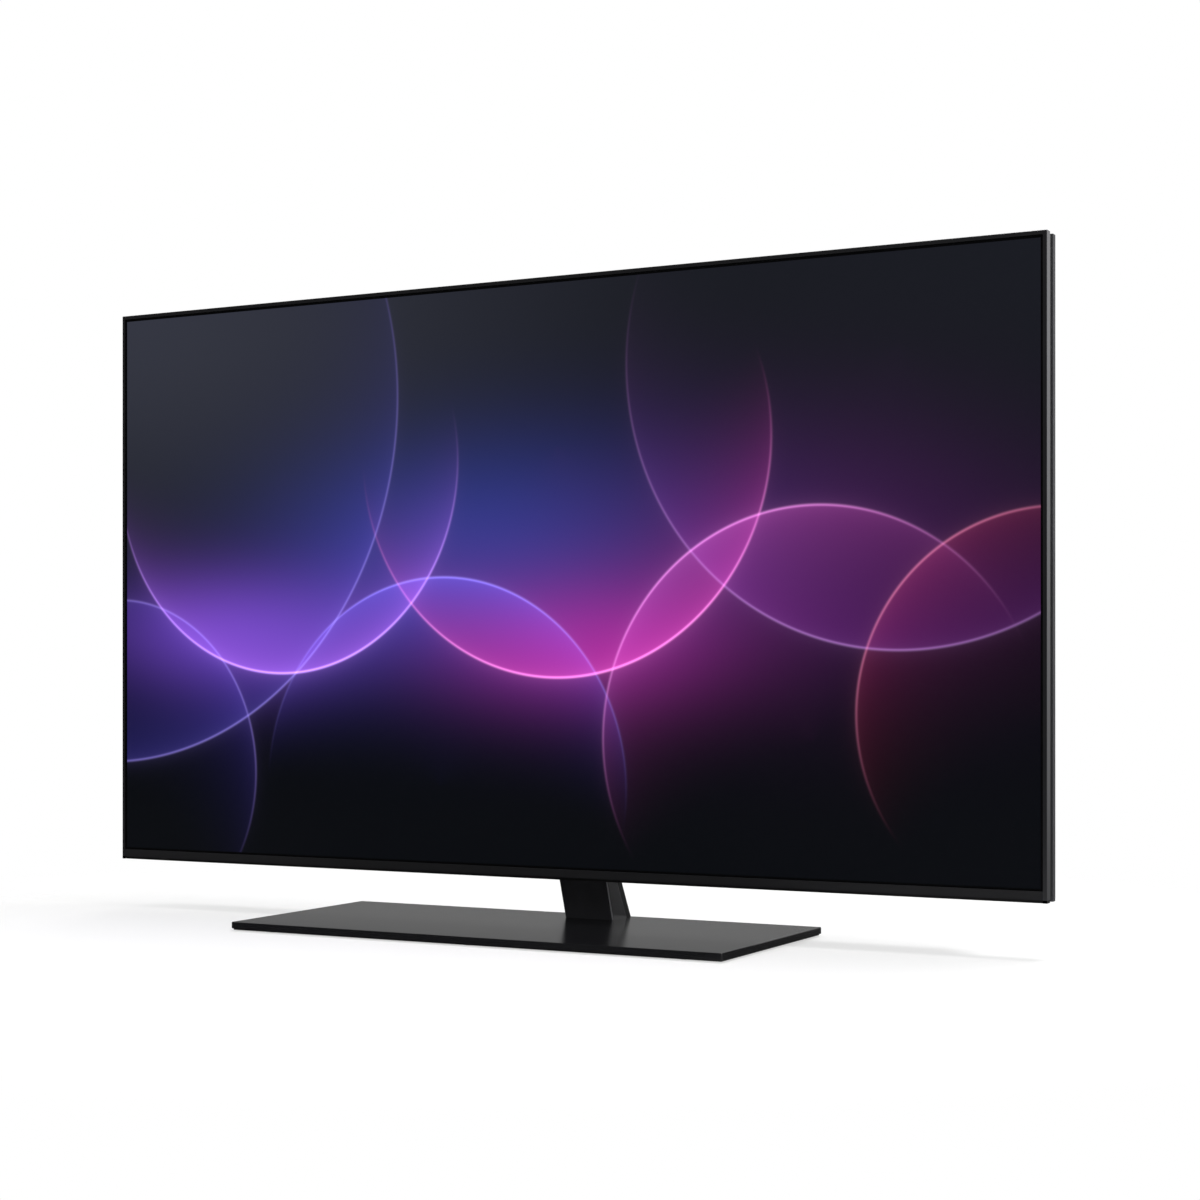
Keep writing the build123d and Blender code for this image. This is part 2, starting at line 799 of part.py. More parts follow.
def board(x0, x1, z0, z1):
    """A board with its holes, whose posts and screws join the shared groups."""
    plate = block(x0, x1, board_front, board_rear, z0, z1)
    for x in (x0 + board_corner, x1 - board_corner):
        for z in (z0 + board_corner, z1 - board_corner):
            post = rod(rearward(x, floor_rear, z), standoff_radius, standoff_height)
            bore = rod(
                rearward(x, board_rear - board_screw_length - mid_gap, z),
                board_screw_radius + mid_gap,
                board_screw_length + overrun,
            )
            tip = rearward(x, board_rear - board_screw_length, z)
            shank = rod(tip, board_screw_radius, board_screw_length)
            screw_head = rod(rearward(x, board_rear, z), board_head_radius, board_head_height)
            standoffs.append(post - bore)
            board_screws.append(shank + screw_head)
            plate -= bore
    return plate


# Main board, its chips and the cooler on the main chip
board_gap = 5.0
main_outer = bay_inner - cover_wall - board_gap
main_inner = rail_x + rail_width / 2 + board_gap
main_low = terminal_low
main_high = terminal_high
save("main_board", board(-main_outer, -main_inner, main_low, main_high))
main_x = -(main_outer + main_inner) / 2
main_z = (main_low + main_high) / 2
chip_half = 15.0
chip_height = 2.0
memory_half = 6.0
memory_step = 30.0
chips = [block(main_x - chip_half, main_x + chip_half, board_rear, board_rear + chip_height,
               main_z - chip_half, main_z + chip_half)]
for step in (-1, 1):
    z = main_z + step * memory_step
    chips.append(block(main_x - memory_half, main_x + memory_half, board_rear, board_rear + chip_height / 2,
                       z - memory_half, z + memory_half))
save("main_chips", *chips)
sink_half = 22.0
sink_plate = 3.0
sink_height = 14.0
fin_count = 8
fin_thickness = 1.4


def heat_sink(x, z, half, y, height):
    """A cooler with upright fins, its plate on the chip."""
    body = block(x - half, x + half, y, y + height, z - half, z + half)
    pitch = (2 * half - fin_thickness) / (fin_count - 1)
    for index in range(fin_count - 1):
        start = x - half + fin_thickness + index * pitch
        body -= block(start, start + pitch - fin_thickness, y + sink_plate, y + height + overrun,
                      z - half - overrun, z + half + overrun)
    return body


save("main_heat_sink", heat_sink(main_x, main_z, sink_half, board_rear + chip_height, sink_height))

# Sockets: shells on the main board's edge, whose mouths look out through the terminal wall
mouth_x = -bay_inner - fit_gap
socket_wall = 0.6
socket_pitch = 24.0
socket_start = 18.0
socket_count = 8
socket_slots = [terminal_low + socket_start + socket_pitch * index for index in range(socket_count)]


def shell_outline(z, width, height, corner, inset):
    """A socket's (y, z) outline, with its two corners on the board cut off, drawn in by an inset."""
    y0 = board_rear + inset
    y1 = board_rear + height - inset
    z0 = z - width / 2 + inset
    z1 = z + width / 2 - inset
    cut = max(corner - inset / 2, socket_wall / 2)
    return [(y0, z0 + cut), (y0 + cut, z0), (y1, z0), (y1, z1), (y0 + cut, z1), (y0, z1 - cut)]


def socket(z, width, height, length, corner, tongue):
    """A socket shell at a height, open to the left, with a tongue of a given thickness."""
    shell = side_profile(mouth_x, mouth_x + length, shell_outline(z, width, height, corner, 0))
    hollow = shell_outline(z, width, height, corner, socket_wall)
    shell -= side_profile(mouth_x - overrun, mouth_x + length - socket_wall, hollow)
    if tongue > 0:
        middle = board_rear + height / 2
        shell += block(
            mouth_x + tongue, mouth_x + length - socket_wall / 2,
            middle - tongue / 2, middle + tongue / 2,
            z - width / 2 + 3 * socket_wall, z + width / 2 - 3 * socket_wall,
        )
    return shell


def socket_window(z, width, height):
    """The cut-out that a socket needs in the terminal wall."""
    return block(
        -bay_inner - overrun, -bay_inner + cover_wall + overrun,
        board_rear - fit_gap, board_rear + height + fit_gap,
        z - width / 2 - fit_gap, z + width / 2 + fit_gap,
    )


hdmi_width = 15.2
hdmi_height = 5.8
hdmi_length = 12.0
hdmi_corner = 1.7
hdmi_tongue = 1.4
hdmi_places = socket_slots[0:3]
save("hdmi_sockets", *[
    socket(z, hdmi_width, hdmi_height, hdmi_length, hdmi_corner, hdmi_tongue) for z in hdmi_places
])
usb_width = 13.4
usb_height = 6.4
usb_length = 14.0
usb_corner = 0.5
usb_tongue = 1.8
usb_places = socket_slots[3:5]
save("usb_sockets", *[
    socket(z, usb_width, usb_height, usb_length, usb_corner, usb_tongue) for z in usb_places
])
lan_width = 16.0
lan_height = 13.4
lan_length = 16.0
lan_wall = 2.0
lan_z = socket_slots[5]
lan = block(
    mouth_x, mouth_x + lan_length,
    board_rear, board_rear + lan_height,
    lan_z - lan_width / 2, lan_z + lan_width / 2,
)
lan -= block(
    mouth_x - overrun, mouth_x + lan_length - lan_wall,
    board_rear + lan_wall, board_rear + lan_height - lan_wall,
    lan_z - lan_width / 2 + lan_wall, lan_z + lan_width / 2 - lan_wall,
)
save("lan_socket", lan)
phone_size = 7.0
phone_length = 12.0
phone_bore = 1.8
phone_z = socket_slots[6]
phone_y = board_rear + phone_size / 2
phone = block(mouth_x, mouth_x + phone_length, board_rear, board_rear + phone_size,
              phone_z - phone_size / 2, phone_z + phone_size / 2)
phone -= rod(rightward(mouth_x, phone_y, phone_z), phone_bore, phone_length - socket_wall)
save("headphone_socket", phone)
aerial_size = 13.0
aerial_radius = 4.8
aerial_post = 9.0
aerial_bore = 1.2
aerial_z = socket_slots[7]
aerial_y = board_rear + aerial_size / 2
aerial_start = -bay_inner + cover_wall + fit_gap
aerial = block(aerial_start, aerial_start + aerial_size, board_rear, board_rear + aerial_size,
               aerial_z - aerial_size / 2, aerial_z + aerial_size / 2)
aerial_tip = rightward(-bay_inner - aerial_post, aerial_y, aerial_z)
aerial += rod(aerial_tip, aerial_radius, aerial_post + cover_wall + 2 * fit_gap)
aerial -= rod(aerial_tip, aerial_bore, aerial_post)
save("antenna_socket", aerial)
windows = [(z, hdmi_width, hdmi_height) for z in hdmi_places]
windows += [(z, usb_width, usb_height) for z in usb_places]
windows += [(lan_z, lan_width, lan_height), (phone_z, phone_size, phone_size)]
for z, width, height in windows:
    rear_cover -= socket_window(z, width, height)
aerial_hole = rightward(-bay_inner - overrun, aerial_y, aerial_z)
rear_cover -= rod(aerial_hole, aerial_radius + fit_gap, cover_wall + 2 * overrun)

# Power board with its transformers, capacitors and coolers
power_low = inlet_low - 2 * board_gap
power_over_nuts = 20.0
power_high = low + vesa_lift + vesa_height + power_over_nuts
save("power_board", board(main_inner, main_outer, power_low, power_high))
power_span = main_outer - main_inner
transformer_half_width = 17.0
transformer_half_height = 21.0
transformer_depth = 26.0
core_proud = 3.0
core_share = 0.6
transformers = []
for x_share, z_share in ((0.3, 0.72), (0.68, 0.48)):
    x = main_inner + power_span * x_share
    z = power_low + (power_high - power_low) * z_share
    winding = block(
        x - transformer_half_width, x + transformer_half_width,
        board_rear, board_rear + transformer_depth,
        z - transformer_half_height * core_share, z + transformer_half_height * core_share,
    )
    ferrite = block(
        x - transformer_half_width * core_share, x + transformer_half_width * core_share,
        board_rear + core_proud, board_rear + transformer_depth + core_proud,
        z - transformer_half_height, z + transformer_half_height,
    )
    transformers.append(winding + ferrite)
save("power_transformers", *transformers)
capacitor_radius = 11.0
capacitor_height = 30.0
capacitor_edge = 1.0
capacitors = []
for x_share, z_share in ((0.25, 0.16), (0.5, 0.16), (0.78, 0.8), (0.78, 0.92)):
    x = main_inner + power_span * x_share
    z = power_low + (power_high - power_low) * z_share
    can = Cylinder(capacitor_radius, capacitor_height, align=(Align.CENTER, Align.CENTER, Align.MIN))
    can = chamfer(can.edges().sort_by(Axis.Z)[-1], capacitor_edge)
    capacitors.append(rearward(x, board_rear, z) * can)
save("power_capacitors", *capacitors)
power_sinks = []
for x_share, z_share in ((0.28, 0.42), (0.5, 0.9)):
    x = main_inner + power_span * x_share
    z = power_low + (power_high - power_low) * z_share
    power_sinks.append(heat_sink(x, z, chip_half, board_rear, sink_height))
save("power_heat_sinks", *power_sinks)

# Mains inlet: a two-pin recess in the wall of the inlet bay, on the power board's edge
inlet_half = 11.0
inlet_depth = 14.0
inlet_length = 20.0
inlet_opening_half = 7.6
inlet_opening_depth = 8.4
inlet_reach = 13.0
pin_radius = 1.2
pin_spread = 4.3
inlet_z = (inlet_low + inlet_high) / 2
inlet_y = board_rear + inlet_depth / 2
inlet_face = bay_inner + fit_gap
inlet_body = block(inlet_face - inlet_length, inlet_face, board_rear, board_rear + inlet_depth,
                   inlet_z - inlet_half, inlet_z + inlet_half)
opening_outline = SlotOverall(2 * inlet_opening_half, inlet_opening_depth)
opening_place = rightward(inlet_face - inlet_reach, inlet_y, inlet_z)
inlet_body -= opening_place * extrude(opening_outline, inlet_reach + overrun)
for side in (-1, 1):
    inlet_body += rod(
        rightward(inlet_face - inlet_reach - pin_radius, inlet_y, inlet_z + side * pin_spread),
        pin_radius, inlet_reach - pin_radius,
    )
save("mains_inlet", inlet_body)
rear_cover -= block(
    bay_inner - cover_wall - overrun, bay_inner + overrun,
    board_rear - fit_gap, board_rear + inlet_depth + fit_gap,
    inlet_z - inlet_half - fit_gap, inlet_z + inlet_half + fit_gap,
)

# Timing board between the rails
timing_half = 120.0
timing_height = 55.0
timing_low = low + vesa_lift + (vesa_height - timing_height) / 2
save("timing_board", board(-timing_half, timing_half, timing_low, timing_low + timing_height))
save("board_standoffs", *standoffs)
save("board_screws", *board_screws)

# Timing ribbons: two flat cables down the chassis to the source boards
flex_half = 13.0
flex_margin = 2.0
flex_x = neck_offset + bracket_half - bracket_plate - flex_margin - flex_half
flex_thickness = 0.4
flex_bond = 8.0
flex_lift = 1.0
flex_y = floor_rear + flex_lift
flex_bond_y = source_y + source_width - flex_bond / 2
flex_path = Polyline(
    (board_front - flex_thickness / 2, timing_low + flex_bond),
    (board_front - flex_thickness / 2, timing_low),
    (flex_y, timing_low - standoff_height),
    (flex_y, floor_low),
    (flex_bond_y, source_high + flex_bond),
    (flex_bond_y, source_high),
)
flex = Plane.YZ.offset(flex_x - flex_half) * extrude(trace(flex_path, flex_thickness), 2 * flex_half)
save("timing_ribbons", flex, mirrored(flex))

# Radio module: a small board with a can, stuck to the chassis
radio_margin = 12.0
radio_lift = 75.0
radio_half = 12.0
radio_x = neck_offset + bracket_half + bracket_foot + radio_margin + radio_half
radio_can = 2.2
radio_z = low + radio_lift
radio = block(radio_x - radio_half, radio_x + radio_half, floor_rear, floor_rear + board_thickness,
              radio_z - radio_half, radio_z + radio_half)
radio += block(radio_x - radio_half * core_share, radio_x + radio_half * core_share,
               floor_rear, floor_rear + board_thickness + radio_can,
               radio_z - radio_half * core_share, radio_z + radio_half * core_share)
save("radio_module", radio)

# Speakers: closed boxes on the chassis, whose drivers fire down through the cover's sloped floor
speaker_step = 23.0
speaker_inset = 110.0
speaker_inner = main_inner + speaker_step
speaker_outer = housing_half_width - speaker_inset
speaker_lift = 34.0
speaker_headroom = 16.0
speaker_height = terminal_low - low - speaker_lift - speaker_headroom
speaker_setback = 9.2
speaker_front = floor_rear + speaker_setback
speaker_depth = 38.0
speaker_wall = 2.4
speaker_corner = 6.0
boss_radius = 5.0
driver_radius = 16.0
driver_flange = 2.0
driver_depth = 14.0
cone_thickness = 0.8
cone_travel = 1.0
speaker_low = low + speaker_lift
speaker_rear = speaker_front + speaker_depth
speaker_x = (speaker_inner + speaker_outer) / 2
speaker_y = (speaker_front + speaker_rear) / 2
box_outline = RectangleRounded(speaker_outer - speaker_inner, speaker_depth, speaker_corner)
hollow_outline = RectangleRounded(
    speaker_outer - speaker_inner - 2 * speaker_wall,
    speaker_depth - 2 * speaker_wall,
    speaker_corner - speaker_wall,
)
speaker_box = Pos(speaker_x, speaker_y, speaker_low) * extrude(box_outline, speaker_height)
speaker_box -= Pos(speaker_x, speaker_y, speaker_low + speaker_wall) * extrude(
    hollow_outline, speaker_height - 2 * speaker_wall
)
boss_z = speaker_low + speaker_height - 2 * boss_radius
for x in (speaker_inner + 2 * boss_radius, speaker_outer - 2 * boss_radius):
    speaker_box += rod(rearward(x, floor_rear, boss_z), boss_radius, speaker_front - floor_rear)
driver_seat = driver_radius - driver_flange
speaker_mouth = Pos(speaker_x, speaker_y, speaker_low - overrun)
speaker_box -= rod(speaker_mouth, driver_seat + fit_gap, speaker_wall + 2 * overrun)

# Leads: round bundles with a plug at each board
lead_radius = 1.2
lead_bend = 4.0
lead_drop = 12.0
lead_slack = 40.0
lane_lift = 56.0
plug_half = 5.0
plug_depth = 6.0
plug_height = 5.0
plug_margin = 10.0
lead_y = board_rear + plug_depth / 2
lane_y = flex_y + flex_thickness + lead_radius + fit_gap
lane_z = low + lane_lift


def lead(*points):
    """A round bundle along straight runs joined by arcs."""
    path = FilletPolyline(*points, radius=lead_bend)
    return sweep(Plane(origin=path @ 0, z_dir=path % 0) * Circle(lead_radius), path=path)


def plug(x, z):
    """A plug on a board's rear face, its lower face at a height."""
    return block(x - plug_half, x + plug_half, board_rear, board_rear + plug_depth, z, z + plug_height)


# Speaker leads: the right one runs along the chassis, under the rails
plug_x = speaker_inner - plug_half
plug_z = main_low + plug_margin
right_start = speaker_inner - lead_drop
right_lead = lead(
    (speaker_inner, speaker_y, lane_z),
    (right_start, speaker_y, lane_z),
    (right_start, lane_y, lane_z),
    (-plug_x, lane_y, lane_z),
    (-plug_x, lane_y, main_low - 2 * lead_drop),
    (-plug_x, lead_y, main_low - lead_drop),
    (-plug_x, lead_y, plug_z),
)
left_x = speaker_inner + lead_slack
left_lead = lead(
    (-left_x, speaker_y, speaker_low + speaker_height),
    (-left_x, speaker_y, speaker_low + speaker_height + lead_drop),
    (-left_x, lead_y, plug_z - lead_drop),
    (-left_x, lead_y, plug_z),
)
save("speaker_leads", right_lead, left_lead, plug(-plug_x, plug_z), plug(-left_x, plug_z))

# Board leads: power to the main board, and power to the light through the chassis
bundle_x = main_inner + plug_margin + plug_half
bundle_drop = 55.0
bundle_z = low + vesa_lift + vesa_height - bundle_drop
bundle = lead(
    (bundle_x - plug_half, lead_y, bundle_z + plug_height / 2 + lead_drop),
    (timing_half, lead_y, bundle_z + plug_height / 2 + lead_drop),
    (-timing_half, lead_y, bundle_z + plug_height / 2),
    (plug_half - bundle_x, lead_y, bundle_z + plug_height / 2),
)
light_x = main_inner + lead_slack
light_z = power_low + board_corner
light_lead = lead(
    (light_x, lead_y, light_z),
    (light_x, lead_y, power_low - lead_drop),
    (light_x, floor_rear, power_low - lead_drop),
)
save(
    "board_leads",
    bundle, light_lead,
    plug(bundle_x, bundle_z + lead_drop), plug(-bundle_x, bundle_z), plug(light_x, light_z),
)

# Driver: a flange under the box, a basket inside it, and the moving cone with its coil
driver_low = speaker_low - driver_flange
driver = rod(Pos(speaker_x, speaker_y, driver_low), driver_radius, driver_flange)
driver += rod(Pos(speaker_x, speaker_y, speaker_low), driver_seat, driver_depth)
basket_radius = driver_seat - cone_thickness
basket_floor = 4.0
basket_depth = driver_flange + driver_depth - basket_floor
driver -= rod(Pos(speaker_x, speaker_y, driver_low), basket_radius, basket_depth)
coil_radius = 5.0
magnet_gap = 0.4
magnet_height = 4.0
driver += rod(
    Pos(speaker_x, speaker_y, speaker_low + driver_depth - basket_floor - magnet_height),
    coil_radius - cone_thickness - magnet_gap, magnet_height + basket_floor / 2,
)
cone_low = driver_low + cone_travel + fit_gap
cone_rise = 4.0
coil_length = 4.0
cone_outer = basket_radius - magnet_gap
cap_low = cone_low + cone_rise
cap_high = cap_low + cone_thickness
coil_high = cap_high + coil_length
cone_outline = [
    (0, cap_low),
    (coil_radius, cap_low),
    (cone_outer - cone_thickness, cone_low),
    (cone_outer, cone_low),
    (cone_outer, cone_low + cone_thickness),
    (coil_radius, cap_high),
    (coil_radius, coil_high),
    (coil_radius - cone_thickness, coil_high),
    (coil_radius - cone_thickness, cap_high),
    (0, cap_high),
]
cone_profile = make_face(Polyline(*[(speaker_x + r, speaker_y, z) for r, z in cone_outline], close=True))
cone = revolve(cone_profile, Axis((speaker_x, speaker_y, 0), (0, 0, 1)))
save("speaker_box_right", speaker_box)
save("speaker_box_left", mirrored(speaker_box))
save("speaker_driver_right", driver)
save("speaker_driver_left", mirrored(driver))
save("speaker_cone_right", cone)
save("speaker_cone_left", mirrored(cone))

# Grille slots in the cover's sloped floor under each driver
slot_count = 12
slot_pitch = 6.0
slot_width = 2.4
slots = []
for index in range(slot_count):
    x = speaker_x + (index - (slot_count - 1) / 2) * slot_pitch
    slots.append(block(
        x - slot_width / 2, x + slot_width / 2,
        speaker_y - driver_seat, speaker_y + driver_seat,
        low - overrun, speaker_low - driver_flange,
    ))

# Intake vents in the sloped floor, between the neck and the speakers, alike on both sides
intake_count = 15
intake_pitch = 8.0
intake_width = 3.2
intake_start = pocket_right + cover_wall + 2 * screw_margin
for index in range(intake_count):
    x = intake_start + index * intake_pitch
    slots.append(block(
        x, x + intake_width,
        speaker_y - driver_seat, speaker_y + driver_seat,
        low - overrun, speaker_low - driver_flange,
    ))

# Outlet vents in the housing's upper slope, in groups with a plain rib between them
vent_groups = 2
vent_count = 20
vent_pitch = 8.5
vent_width = 3.2
vent_rib = 24.0
vent_head = 15.0
vent_foot = 13.0
vent_high = low + housing_head - vent_head
vent_low = low + housing_head - head_drop + vent_foot
vent_front = edge_rear + cover_wall
group_span = vent_count * vent_pitch + vent_rib
for group in range(vent_groups):
    for index in range(vent_count):
        x = vent_rib / 2 + group * group_span + index * vent_pitch
        slots.append(block(x, x + vent_width, vent_front, cover_rear + overrun, vent_low, vent_high))
rear_cover -= slots
rear_cover -= [mirrored(slot) for slot in slots]
save("rear_cover", rear_cover)
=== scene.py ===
from math import cos, pi, radians, sin

import bpy
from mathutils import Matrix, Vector


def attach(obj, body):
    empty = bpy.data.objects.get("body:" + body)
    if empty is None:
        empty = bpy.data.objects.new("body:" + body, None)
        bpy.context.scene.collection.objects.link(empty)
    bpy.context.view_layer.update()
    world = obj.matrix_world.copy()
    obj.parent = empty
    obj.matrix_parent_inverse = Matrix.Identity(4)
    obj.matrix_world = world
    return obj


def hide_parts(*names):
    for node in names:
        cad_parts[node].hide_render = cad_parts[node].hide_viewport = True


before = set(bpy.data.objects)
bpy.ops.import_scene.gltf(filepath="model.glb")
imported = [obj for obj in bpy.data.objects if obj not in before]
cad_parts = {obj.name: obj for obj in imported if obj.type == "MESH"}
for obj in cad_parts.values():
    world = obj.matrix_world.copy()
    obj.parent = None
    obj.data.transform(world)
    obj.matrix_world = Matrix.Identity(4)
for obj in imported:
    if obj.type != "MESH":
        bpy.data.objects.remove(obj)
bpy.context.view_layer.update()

# Light box and camera
# A white sweep lit from above, in front and behind. Polish mirrors a bright wall behind the set, which
# dims to the front, floor and ceiling, a dark flag at the left and a bright strip on the floor.
photo_pixels = 1200
focal_pixels = 2253.15
axis_across_pixels = 580.0
axis_down_pixels = 672.89
sensor_width = 36.0
# The camera stands at table height to the right of the set, and is level.
camera_data = bpy.data.cameras.new("camera")
camera_data.sensor_width = sensor_width
camera_data.lens = focal_pixels * sensor_width / photo_pixels
camera_data.shift_x = (photo_pixels / 2 - axis_across_pixels) / photo_pixels
camera_data.shift_y = (axis_down_pixels - photo_pixels / 2) / photo_pixels
camera_data.clip_end = 50.0
camera = bpy.data.objects.new("camera", camera_data)
camera.location = (1.28485, -2.27578, 0.30219)
camera.rotation_euler = (radians(90), 0.0, radians(28.0073))
bpy.context.scene.collection.objects.link(camera)
bpy.context.scene.camera = camera
bpy.context.scene.view_settings.view_transform = "Standard"


def linear(code):
    """The linear colour that an sRGB hex code stands for."""
    parts = [int(code[i:i + 2], 16) / 255 for i in (1, 3, 5)]
    return [p / 12.92 if p <= 0.04045 else ((p + 0.055) / 1.055) ** 2.4 for p in parts] + [1.0]


def adjust(holder, node, settings):
    """Lower-case settings are the node's own, others its sockets': a link, a colour code or a value."""
    for key, value in settings.items():
        if isinstance(key, str) and key[0].islower():
            setattr(node, key, value)
        elif isinstance(value, bpy.types.NodeSocket):
            holder.node_tree.links.new(value, node.inputs[key])
        else:
            node.inputs[key].default_value = linear(value) if isinstance(value, str) else value


def add(holder, kind, settings=()):
    """Adds one node and adjusts it."""
    made = holder.node_tree.nodes.new(kind)
    adjust(holder, made, dict(settings))
    return made


def calc(holder, operation, *terms, clamp=False):
    """The result of a sum on numbers and links."""
    settings = {"operation": operation, "use_clamp": clamp, **dict(enumerate(terms))}
    return add(holder, "ShaderNodeMath", settings).outputs[0]


def calc_vector(holder, operation, *terms):
    """The result of a sum on vectors. A length or a dot product is one number."""
    places = (0, 3) if operation == "SCALE" else (0, 1)
    made = add(holder, "ShaderNodeVectorMath", {"operation": operation, **dict(zip(places, terms))})
    return made.outputs["Value" if operation in ("LENGTH", "DOT_PRODUCT") else "Vector"]


def ramp(holder, amount, reach, result, kind="SMOOTHSTEP"):
    """Turns an amount within a reach into one between two results."""
    settings = {"interpolation_type": kind, **dict(enumerate((amount, *reach, *result)))}
    return add(holder, "ShaderNodeMapRange", settings).outputs[0]


world = bpy.data.worlds.new("light_box")
bpy.context.scene.world = world
world.use_nodes = True
fill_glow = 0.55
flag_left = 0.48
ray = add(world, "ShaderNodeLightPath").outputs
heading = add(world, "ShaderNodeTexCoord").outputs["Generated"]
toward = add(world, "ShaderNodeSeparateXYZ", {0: heading}).outputs
rear_glow = ramp(world, toward["Y"], (-0.5, 0.4), (0.14, 1.0))
floor_dim = ramp(world, toward["Z"], (-0.1, 0.18), (0.24, 0.86), "LINEAR")
ceiling_dim = ramp(world, toward["Z"], (0.22, 0.9), (1.0, 0.5), "LINEAR")
from_flag = calc(world, "ABSOLUTE", calc(world, "ADD", toward["X"], flag_left))
flag_dim = ramp(world, from_flag, (0.18, 0.42), (0.4, 1.0))
level_glow = calc(world, "MULTIPLY", floor_dim, ceiling_dim)
seen_glow = calc(world, "MULTIPLY", rear_glow, calc(world, "MULTIPLY", level_glow, flag_dim))
lit_glow = add(world, "ShaderNodeMix", {0: ray["Is Glossy Ray"], 2: fill_glow, 3: seen_glow}).outputs[0]
open_ray = calc(world, "ADD", ray["Is Camera Ray"], ray["Is Transmission Ray"], clamp=True)
strength = add(world, "ShaderNodeMix", {0: open_ray, 2: lit_glow, 3: 1.0}).outputs[0]
adjust(world, world.node_tree.nodes["Background"], {"Color": "#ffffff", "Strength": strength})

# Each lamp has its place, its aim, its width and depth, its watts, and whether polish mirrors it.
lamps = [
    ("overhead_lamp", (0.8, 0.25, 2.5), (0.0, 0.0, 0.3), 1.4, 1.0, 50.0, True),
    ("front_lamp", (1.5, -2.6, 2.1), (0.0, 0.0, 0.35), 1.2, 1.2, 26.0, False),
    ("rear_lamp", (-1.4, 2.6, 2.0), (0.0, 0.1, 0.35), 1.4, 1.2, 18.0, True),
]
for name, place, aim, wide, deep, power, mirrored in lamps:
    lamp_data = bpy.data.lights.new(name, "AREA")
    lamp_data.shape = "RECTANGLE"
    lamp_data.size = wide
    lamp_data.size_y = deep
    lamp_data.energy = power
    lamp = bpy.data.objects.new(name, lamp_data)
    lamp.location = place
    lamp.rotation_euler = (Vector(aim) - Vector(place)).to_track_quat("-Z", "Y").to_euler()
    lamp.visible_camera = False
    lamp.visible_glossy = mirrored
    bpy.context.scene.collection.objects.link(lamp)


def clear_selection():
    """Nothing stays selected before an operator acts."""
    for thing in bpy.context.selected_objects:
        thing.select_set(False)


def finish(name):
    """A new material."""
    material = bpy.data.materials.new(name)
    material.use_nodes = True
    return material


def shade(material, settings):
    """Adjusts a material's surface shader."""
    adjust(material, material.node_tree.nodes["Principled BSDF"], settings)


def axes(holder):
    """The X, Y and Z in metres of a place on the surface."""
    place = add(holder, "ShaderNodeTexCoord").outputs["Object"]
    return add(holder, "ShaderNodeSeparateXYZ", {0: place}).outputs


def layer(holder, share, below, above):
    """One shader over another, by a share."""
    return add(holder, "ShaderNodeMixShader", {0: share, 1: below, 2: above}).outputs[0]


clear_selection()
bpy.ops.mesh.primitive_circle_add(vertices=96, radius=2.4, fill_type="NGON", location=(0, 0, 0))
floor = bpy.context.active_object
floor.name = "floor"
sweep = finish("white_sweep")
shade(sweep, {"Base Color": "#f6f6f6", "Roughness": 0.9, "Specular IOR Level": 0.1})
sweep_nodes = sweep.node_tree.nodes
sweep_ray = add(sweep, "ShaderNodeLightPath").outputs
sweep_place = add(sweep, "ShaderNodeTexCoord").outputs["Object"]
glow_share = calc(sweep, "MULTIPLY", sweep_ray["Is Camera Ray"], 0.5)
sweep_white = add(sweep, "ShaderNodeEmission", {"Color": "#ffffff", "Strength": 1.08}).outputs[0]
sweep_lit = layer(sweep, glow_share, sweep_nodes["Principled BSDF"].outputs[0], sweep_white)
seen_rear = ramp(sweep, axes(sweep)["Y"], (-0.1, 0.5), (0.06, 0.16))
strip = {"vector_type": "TEXTURE", "Vector": sweep_place, "Location": (0.68, -0.292, 0.0),
         "Rotation": (0.0, 0.0, radians(-22)), "Scale": (0.55, 0.06, 1.0)}
from_strip = calc_vector(sweep, "LENGTH", add(sweep, "ShaderNodeMapping", strip).outputs[0])
bright_strip = ramp(sweep, from_strip, (1.0, 0.6), (0.0, 0.9))
seen_floor = calc(sweep, "MAXIMUM", seen_rear, bright_strip)
sweep_seen = add(sweep, "ShaderNodeEmission", {"Color": "#ffffff", "Strength": seen_floor}).outputs[0]
sweep_both = layer(sweep, sweep_ray["Is Glossy Ray"], sweep_lit, sweep_seen)
sweep_edge = ramp(sweep, calc_vector(sweep, "LENGTH", sweep_place), (0.45, 1.1), (0.0, 1.0))
faded = calc(sweep, "MULTIPLY", sweep_edge, sweep_ray["Is Camera Ray"])
sweep_clear = add(sweep, "ShaderNodeBsdfTransparent").outputs[0]
adjust(sweep, sweep_nodes["Material Output"], {"Surface": layer(sweep, faded, sweep_both, sweep_clear)})
floor.data.materials.append(sweep)

# Chassis, rails, stand bracket, corner angles and standoffs
# Pressed from galvanised sheet steel 0.8 to 2.8 mm thick. Hot-dip zinc shows a frosty spangle
# of crystals about a centimetre across, with a soft, slightly uneven shine.


def dress(material, *names):
    """The carried-over pieces of these names get the material."""
    for name in names:
        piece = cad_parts[name]
        piece.data.materials.clear()
        piece.data.materials.append(material)


def pattern(holder, kind, settings):
    """A texture's outputs, laid out in metres."""
    place = add(holder, "ShaderNodeTexCoord").outputs["Object"]
    return add(holder, kind, {"Vector": place, **settings}).outputs


def noise(holder, spot, detail, **more):
    """Noise whose spots are this size in metres."""
    return pattern(holder, "ShaderNodeTexNoise", {"Scale": 1 / spot, "Detail": detail, **more})[0]


def blend(holder, share, first, last):
    """A colour between two, which are codes or links."""
    return add(holder, "ShaderNodeMix", {"data_type": "RGBA", 0: share, 6: first, 7: last}).outputs[2]


def relief(holder, height, depth):
    """The normals of a height pattern, one depth from black to white."""
    settings = {"Strength": 1.0, "Distance": depth, "Height": height}
    return add(holder, "ShaderNodeBump", settings).outputs["Normal"]


